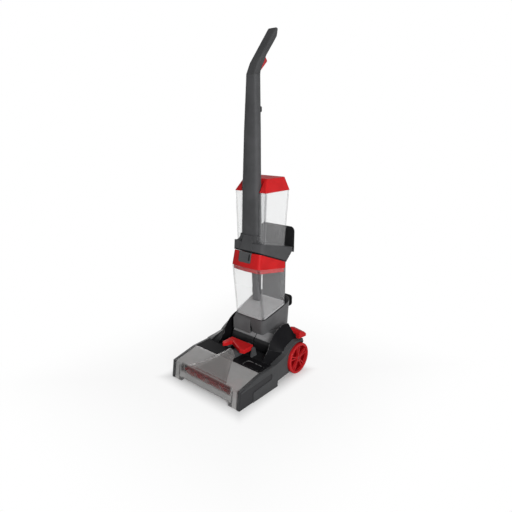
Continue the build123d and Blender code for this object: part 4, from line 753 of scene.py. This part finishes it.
# Its darker zone paints the shadow on the carry plate behind the tank, and its dark band paints the
# shadow in the parting gap between the cradle and the lid.
CRADLE_GREY = MouldedPlastic(
    "cradle_grey_moulded",
    (0.078, 0.079, 0.082),
    roughness=0.46,
    specular=0.03,
    coat=0.06,
    painted_shade_zones=(
        Zone((-0.01, 0.1515, 0.405), (0.20, 0.20, 0.60), (0.018, 0.018, 0.019)),
        Slope(0.4141, -0.4, -0.0100, 0.0050, (0.008, 0.008, 0.009)),
    ),
)
# The dark zone paints shade on the covers' lower faces, below their lit tops.
COVER_GREY = MouldedPlastic(
    "drum_cover_moulded",
    (0.28, 0.28, 0.285),
    roughness=0.44,
    painted_shade_zones=(Zone((-0.01, -0.1, -0.1), (0.20, 0.2, 0.112), (0.010, 0.010, 0.011), soft=0.002),),
)
# The darker inner zone paints the shade in the wheel's recessed web.
WHEEL_RED = MouldedPlastic(
    "wheel_red_satin",
    (0.46, 0.014, 0.017),
    roughness=0.34,
    specular=0.0,
    coat=0.20,
    grain_strength=0.15,
    edge_wear_and_highlight=0.2,
    painted_shade_zones=(Zone((-0.01, -0.1, -0.1), (0.1458, 0.2, 0.2), (0.16, 0.001, 0.002)),),
)
# The caps' red is darkened to paint the shade in the hub's recess.
AXLE_SHADED_RED = MouldedPlastic("axle_cap_shaded_red", (0.26, 0.006, 0.008), roughness=0.40)
MID_GREY = MouldedPlastic("separator_moulded", (0.09, 0.09, 0.094), roughness=0.42)
# The pale film is partly the smoked plastic and partly a painted sheen on the top panels; its edges
# take a painted highlight.
SMOKED = ClearPlastic(
    "nozzle_smoked",
    film=(0.78, 0.775, 0.77),
    passed=(0.84, 0.83, 0.825),
    share=0.26,
    edge_share=0.55,
    edge_power=2.0,
    roughness=0.11,
    specular=0.45,
    edge_highlight=0.22,
    # Above 34 mm the window thins; below it the fuller film paints a reflection of the floor.
    thin=Zone((-0.01, -0.30, 0.034), (0.112, -0.1975, 0.080), soft=0.004),
    thin_share=0.9,
    # These paint shade on the sill, on the blocks' outer edges, along the roof's side edges and at
    # the window's sides.
    shades=(
        Zone((-0.01, -0.30, -0.01), (0.118, -0.19, 0.0125), (0.14, 0.14, 0.142), soft=0.002),
        Zone((0.1375, -0.30, -0.01), (0.16, -0.195, 0.062), (0.045, 0.045, 0.047), soft=0.003),
        Zone((0.1395, -0.1951, 0.040), (0.16, -0.05, 0.09), (0.045, 0.045, 0.047), soft=0.0015),
        Zone((0.1165, -0.30, -0.01), (0.1205, -0.19, 0.052), (0.10, 0.10, 0.102), soft=0.0015),
    ),
)
# Its edges take a painted highlight.
DUCT_SMOKED = ClearPlastic(
    "duct_smoked",
    film=(0.56, 0.55, 0.545),
    passed=(0.80, 0.785, 0.78),
    share=0.14,
    edge_share=0.45,
    edge_power=2.0,
    roughness=0.11,
    specular=0.45,
    edge_highlight=0.22,
)
# Both tanks take painted shade on their corners and a painted highlight on their edges.
CLEAN_CLEAR = ClearPlastic(
    "clean_tank_clear",
    film=(0.84, 0.84, 0.85),
    passed=(0.99, 0.992, 0.992),
    share=0.072,
    edge_share=0.60,
    edge_power=4.0,
    roughness=0.08,
    specular=0.40,
    edge_highlight=0.10,
    corner=CornerShade((0.0396, 0.0, 0.0419), (0.014, 0.0), (0.1023, 0.0539), reach=0.009),
    corner_share=0.34,
)
DIRTY_CLEAR = ClearPlastic(
    "dirty_tank_clear",
    film=(0.84, 0.84, 0.85),
    passed=(0.99, 0.992, 0.992),
    share=0.055,
    edge_share=0.60,
    edge_power=4.0,
    roughness=0.08,
    specular=0.40,
    edge_highlight=0.10,
    frost=Slope(TANK_SEAT, TANK_SEAT_CLIMB, -0.0100, 0.0050, soft=0.002),
    frost_share=0.5,
    corner=CornerShade((0.0621, 0.0946, -0.0067), (0.0269, -0.106), (0.118, 0.0)),
)
NYLON = Filament("brush_nylon", root=(0.20, 0.004, 0.005), tip=(0.62, 0.02, 0.025))
STEEL = TurnedSteel("axle_steel", (0.56, 0.56, 0.57), stretch=(1.0, 40.0, 40.0))
CAN = TurnedSteel("motor_can", (0.22, 0.22, 0.23), stretch=(40.0, 1.0, 1.0))
RUBBER = SoftRubber("soft_rubber", (0.014, 0.014, 0.014), bloom=(0.05, 0.048, 0.045))


@dataclass
class Dresser:
    """Gives finishes to CAD nodes and takes new pieces into the scene."""

    made: dict[str, bpy.types.Material]

    def material(self, finish: Finish) -> bpy.types.Material:
        """Makes a finish once.

        Args:
            finish: The finish to look up.

        Returns:
            Its material.
        """
        if finish.name not in self.made:
            self.made[finish.name] = finish.material()
        return self.made[finish.name]

    def dress(self, finish: Finish, *nodes: str) -> None:
        """Puts one finish on CAD nodes.

        Args:
            finish: The finish.
            nodes: The nodes' names.
        """
        for name in nodes:
            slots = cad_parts[name].data.materials
            slots.clear()
            slots.append(self.material(finish))
            LOG.info("dressed %s in %s", name, finish.name)

    def add(
        self, name: str, shape: bmesh.types.BMesh, finish: Finish, body: Body, slot: Slot
    ) -> bpy.types.Object:
        """Makes a finished bmesh a piece that rides on a body.

        Args:
            name: The piece's name.
            shape: Its mesh, in place, which is freed.
            finish: Its finish.
            body: The body that it rides on.
            slot: Not used.

        Returns:
            The new object.
        """
        mesh = bpy.data.meshes.new(name)
        shape.to_mesh(mesh)
        shape.free()
        mesh.materials.append(self.material(finish))
        piece = bpy.data.objects.new(name, mesh)
        bpy.context.scene.collection.objects.link(piece)
        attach(piece, body.value)
        LOG.info("made %s, %d faces", name, len(mesh.polygons))
        return piece


@dataclass
class BrushRoll:
    """The brush roll: a sleeve with spiral rows of tufts, each a spray of filaments."""

    centre_y: float = -0.160
    centre_z: float = 0.032
    half_length: float = 0.116
    sleeve_radius: float = 0.0145
    sleeve_sides: int = 48
    sleeve_shade: float = 0.0
    tip_radius: float = 0.0298
    tip_short: float = 0.0006
    tip_scatter: float = 0.0012
    tip_shade: Span = (0.45, 1.0)
    margin: float = 0.004
    rows: int = 4
    tufts: int = 48
    turns: float = 1.0
    filaments: int = 9
    filament_radius: float = 0.00042
    filament_sides: int = 5
    filament_taper: float = 0.7
    foot_depth: float = 0.001
    foot_splay: float = 0.35
    foot_shade: float = 0.15
    splay: float = 0.0022
    seed: int = 11

    def sleeve(self, shape: bmesh.types.BMesh) -> None:
        """Adds the sleeve that the tufts stand in.

        Args:
            shape: The mesh to add to.
        """
        moved = Matrix.Translation((0.0, self.centre_y, self.centre_z))
        made = bmesh.ops.create_cone(
            shape,
            cap_ends=True,
            segments=self.sleeve_sides,
            radius1=self.sleeve_radius,
            radius2=self.sleeve_radius,
            depth=2 * self.half_length,
            matrix=moved @ Matrix.Rotation(math.pi / 2, 4, "Y"),
        )
        layer = shape.verts.layers.float[SHADE]
        for corner in made["verts"]:
            corner[layer] = self.sleeve_shade

    def filament(
        self, shape: bmesh.types.BMesh, foot: Vector, tip: Vector, shade: float
    ) -> None:
        """Adds one tapering strand.

        Args:
            shape: The mesh to add to.
            foot: Where it leaves the sleeve.
            tip: Where it ends.
            shade: Its own shade at the tip.
        """
        line = tip - foot
        turned = line.to_track_quat("Z", "Y").to_matrix().to_4x4()
        made = bmesh.ops.create_cone(
            shape,
            cap_ends=True,
            segments=self.filament_sides,
            radius1=self.filament_radius,
            radius2=self.filament_radius * self.filament_taper,
            depth=line.length,
            matrix=Matrix.Translation((foot + tip) / 2) @ turned,
        )
        layer = shape.verts.layers.float[SHADE]
        for corner in made["verts"]:
            near_tip = (corner.co - foot).dot(line) > line.length_squared / 2
            corner[layer] = shade if near_tip else self.foot_shade

    def spray(
        self, shape: bmesh.types.BMesh, draw: random.Random, root: Vector, turn: float
    ) -> None:
        """Adds one tuft, a spray of strands.

        Args:
            shape: The mesh to add to.
            draw: The roll's random numbers.
            root: The point on the roll's axis that it stands over.
            turn: The way that it points, in radians about the axis.
        """
        out = Vector((0.0, math.cos(turn), math.sin(turn)))
        side = Vector((0.0, -out.z, out.y))
        sunk = self.sleeve_radius - self.foot_depth
        for _ in range(self.filaments):
            lean = Vector((draw.uniform(-1, 1), 0.0, 0.0)) + side * draw.uniform(-1, 1)
            foot = root + out * sunk + lean * self.splay * self.foot_splay
            reach = self.tip_radius - self.tip_short - draw.random() * self.tip_scatter
            tip = root + out * reach + lean * self.splay
            self.filament(shape, foot, tip, draw.uniform(*self.tip_shade))

    def build(self) -> bmesh.types.BMesh:
        """Models the sleeve and every tuft.

        Returns:
            The mesh.
        """
        shape = bmesh.new()
        shape.verts.layers.float.new(SHADE)
        self.sleeve(shape)
        draw = random.Random(self.seed)
        pitch = 2 * (self.half_length - self.margin) / (self.tufts - 1)
        for row in range(self.rows):
            for tuft in range(self.tufts):
                along = -self.half_length + self.margin + tuft * pitch
                turn = math.tau * (row / self.rows + self.turns * tuft / self.tufts)
                self.spray(shape, draw, Vector((along, self.centre_y, self.centre_z)), turn)
        return shape

    def dress(self, dresser: Dresser) -> None:
        """Finishes the roll and its ends.

        Args:
            dresser: The scene's dresser.
        """
        tufts = dresser.add("brush_tufts", self.build(), NYLON, Body.BRUSH_ROLL, Slot.BRISTLE)
        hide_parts("brush_bristles")
        dresser.dress(RED, "brush_core")
        dresser.dress(BLACK, "brush_bearing_left", "brush_bearing_right", "brush_hood", "spray_bar")
        dresser.dress(CAN, "brush_motor")
        dresser.dress(STEEL, "motor_pulley")
        dresser.dress(RUBBER, "drive_belt")


@dataclass
class Base:
    """The wheeled base: rails and arches, cheeks, plates and covers."""

    rails: tuple[str, ...] = ("side_panel_left", "side_panel_right")
    guards: tuple[str, ...] = (
        "pivot_guard_left",
        "pivot_guard_right",
        "belt_cover",
        "deck_rim",
    )
    black: tuple[str, ...] = ("floor_pan", "deck", "pedal_bracket")
    red: tuple[str, ...] = ("nozzle_latch", "recline_pedal")

    def dress(self, dresser: Dresser) -> None:
        """Finishes the base.

        Args:
            dresser: The scene's dresser.
        """
        dresser.dress(RAIL_GREY, *self.rails)
        dresser.dress(GREY, "suction_elbow", "latch_bracket")
        dresser.dress(GUARD_BLACK, *self.guards)
        dresser.dress(BLACK, *self.black)
        dresser.dress(RED, *self.red)
        dresser.dress(WHEEL_RED, "wheel_left", "wheel_right")
        dresser.dress(RUBBER, "pivot_bush_left", "pivot_bush_right")
        dresser.dress(AXLE_SHADED_RED, "wheel_axle_left", "wheel_axle_right")


@dataclass
class Nozzle:
    """The smoked nozzle that pulls off the front."""

    def dress(self, dresser: Dresser) -> None:
        """Finishes the nozzle.

        Args:
            dresser: The scene's dresser.
        """
        dresser.dress(SMOKED, "nozzle_cover")
        dresser.dress(DUCT_SMOKED, "suction_duct")
        dresser.dress(RUBBER, "suction_lip")


@dataclass
class Tower:
    """The tower: tub and drum, cradle, neck and grip."""

    grey: tuple[str, ...] = ("neck_front", "neck_rear", "spine")
    black: tuple[str, ...] = (
        "drum_end_cap",
        "solution_pump",
        "lower_cord_hook",
        "upper_cord_hook",
        "power_switch",
        "suction_fan",
        "trigger_rod",
    )

    def dress(self, dresser: Dresser) -> None:
        """Finishes the tower.

        Args:
            dresser: The scene's dresser.
        """
        dresser.dress(GREY, *self.grey)
        dresser.dress(TUB_GREY, "lower_body")
        dresser.dress(COVER_GREY, "motor_cover_left", "motor_cover_right")
        dresser.dress(CRADLE_GREY, "cradle")
        dresser.dress(BLACK, *self.black)
        dresser.dress(TOUCH_GREY, "grip")
        dresser.dress(TRIGGER_RED, "trigger")
        dresser.dress(CAN, "suction_motor")
        dresser.dress(STEEL, "neck_screws")
        dresser.dress(RUBBER, "cord_gland", "solution_tube")


@dataclass
class Tanks:
    """The two water tanks with their lid, cap and fittings."""

    def dress(self, dresser: Dresser) -> None:
        """Finishes the tanks.

        Args:
            dresser: The scene's dresser.
        """
        dresser.dress(CLEAN_CLEAR, "clean_tank")
        dresser.dress(DIRTY_CLEAR, "dirty_tank")
        dresser.dress(RED, "tank_cap", "tank_lid")
        dresser.dress(BUTTON_GREY, "tank_button")
        dresser.dress(MID_GREY, "separator", "tank_float")
        dresser.dress(BLACK, "tank_valve")


@dataclass(frozen=True)
class Lamp:
    """A square soft lamp."""

    name: str
    place: Triple
    watts: float
    size: float

    def hang(self, aim: Triple) -> None:
        """Hangs the lamp so that it faces a point.

        Args:
            aim: The point.
        """
        light = bpy.data.lights.new(self.name, "AREA")
        light.energy = self.watts
        light.size = self.size
        hung = bpy.data.objects.new(self.name, light)
        hung.location = self.place
        towards = Vector(aim) - Vector(self.place)
        hung.rotation_euler = towards.to_track_quat("-Z", "Y").to_euler()
        bpy.context.scene.collection.objects.link(hung)


@dataclass
class Studio:
    """A pale floor, soft lamps, a white backdrop and the camera."""

    image: int = 512
    focal_pixels: float = 450.1
    camera_at: Triple = (0.9328, -1.0432, 0.8024)
    camera_turn: Triple = (73.99, 0.0, 40.67)
    sensor: float = 36.0
    floor_half: float = 30.0
    floor_drop: float = 0.0004
    footprint_half: Triple = (0.150, 0.158, 0.0)
    footprint_centre: Triple = (0.0, -0.052, 0.0)
    under_glow: float = 0.12
    edge_reach: Span = (-0.015, 0.05)
    near_glow: float = 0.86
    far_reach: Span = (0.05, 0.5)
    paper: tuple[Colour, Colour] = ((0.86, 0.86, 0.86), (0.9, 0.9, 0.9))
    paper_fibre: float = 300.0
    paper_bounce: Colour = (0.55, 0.55, 0.55)
    paper_rough: float = 0.9
    paper_specular: float = 0.1
    ambient: Span = (0.05, 0.25)
    ambient_span: Span = (-0.9, 0.9)
    lamps: tuple[Lamp, ...] = (
        Lamp("key", (2.35, -1.6, 1.3), watts=72.0, size=1.1),
        Lamp("fill", (0.4, -0.6, 3.0), watts=5.0, size=2.0),
        Lamp("rim", (1.7, 1.7, 0.7), watts=4.5, size=1.2),
        Lamp("back", (-2.3, 0.9, 1.0), watts=30.0, size=1.8),
    )
    aim: Triple = (0.0, 0.0, 0.4)

    def seen_directly(self, tree: FinishTree) -> Socket:
        """Marks the rays that show the backdrop as it is.

        Args:
            tree: The tree to add to.

        Returns:
            1 for those rays.
        """
        share = tree.node("ShaderNodeLightPath", output="Is Camera Ray")
        for ray in ("Is Glossy Ray", "Is Transmission Ray"):
            share = share.most(tree.node("ShaderNodeLightPath", output=ray))
        return share

    def backdrop(self) -> None:
        """Makes the world white to the eye, and a dim lamp that is brighter towards +x."""
        world = bpy.data.worlds.new("studio")
        world.use_nodes = True
        bpy.context.scene.world = world
        tree = FinishTree("studio", world.node_tree)
        ahead = tree.axis(tree.node("ShaderNodeTexCoord", output="Generated"), "X")
        low, high = self.ambient
        shade = low + ahead.over(*self.ambient_span) * (high - low)
        glow = shade + self.seen_directly(tree) * (1.0 - shade)
        light = tree.node("ShaderNodeBackground", None, {"Color": paint(WHITE), "Strength": glow})
        tree.node("ShaderNodeOutputWorld", None, {"Surface": light})

    def clear_of_footprint(self, tree: FinishTree) -> Socket:
        """Measures how far a point of the floor lies outside the washer's footprint.

        Args:
            tree: The tree to add to.

        Returns:
            The distance in metres, less than 0 under the washer.
        """
        where = tree.vector("SUBTRACT", tree.place(), self.footprint_centre)
        where = tree.vector("SUBTRACT", tree.vector("ABSOLUTE", where), self.footprint_half)
        return tree.axis(where, "X").most(tree.axis(where, "Y"))

    def floor_paper(self) -> bpy.types.Material:
        """Makes the floor's paper, white to the eye, with a painted shade round and under the
        washer where its glow is cut back.

        Returns:
            The material.
        """
        tree = FinishTree("floor_paper")
        fibre = tree.noise(tree.place(), self.paper_fibre)
        bounced = tree.node("ShaderNodeLightPath", output="Is Diffuse Ray")
        paper = tree.blend(fibre, *self.paper)
        inputs = {
            "Base Color": tree.blend(bounced, paper, self.paper_bounce),
            "Roughness": self.paper_rough,
            "Specular IOR Level": self.paper_specular,
        }
        matt = tree.node("ShaderNodeBsdfPrincipled", None, inputs)
        # Cutting the glow back round the footprint paints shade there and lets the real shadow
        # show.
        away = self.clear_of_footprint(tree)
        edge = self.under_glow + away.over(*self.edge_reach) * (1.0 - self.under_glow)
        glow = edge * (self.near_glow + away.over(*self.far_reach) * (1.0 - self.near_glow))
        white = tree.node("ShaderNodeEmission", None, {"Color": paint(WHITE), "Strength": 1.0})
        share = self.seen_directly(tree) * glow
        return tree.finish(tree.node("ShaderNodeMixShader", None, {0: share, 1: matt, 2: white}))

    def floor(self) -> None:
        """Lays a pale floor that keeps the shadow."""
        shape = bmesh.new()
        lowered = Matrix.Translation((0.0, 0.0, -self.floor_drop))
        bmesh.ops.create_grid(
            shape, x_segments=1, y_segments=1, size=self.floor_half, matrix=lowered
        )
        mesh = bpy.data.meshes.new("floor")
        shape.to_mesh(mesh)
        shape.free()
        mesh.materials.append(self.floor_paper())
        floor = bpy.data.objects.new("floor", mesh)
        bpy.context.scene.collection.objects.link(floor)

    def camera(self) -> None:
        """Sets the camera at the photograph's viewing angle."""
        data = bpy.data.cameras.new("camera")
        data.sensor_width = self.sensor
        data.lens = self.focal_pixels / self.image * self.sensor
        camera = bpy.data.objects.new("camera", data)
        camera.location = self.camera_at
        camera.rotation_euler = tuple(math.radians(turn) for turn in self.camera_turn)
        bpy.context.scene.collection.objects.link(camera)
        bpy.context.scene.camera = camera

    def build(self) -> None:
        """Sets up the whole studio."""
        bpy.context.scene.view_settings.view_transform = "Standard"
        self.backdrop()
        self.floor()
        for lamp in self.lamps:
            lamp.hang(self.aim)
        self.camera()


def main() -> None:
    """Builds the sub-assemblies in order, then the studio."""
    logging.basicConfig(level=logging.INFO, format="%(name)s: %(message)s")
    dresser = Dresser({})
    for assembly in (Base(), Nozzle(), BrushRoll(), Tower(), Tanks()):
        assembly.dress(dresser)
        LOG.info("finished the %s", type(assembly).__name__)
    Studio().build()


if __name__ == "__main__":
    main()
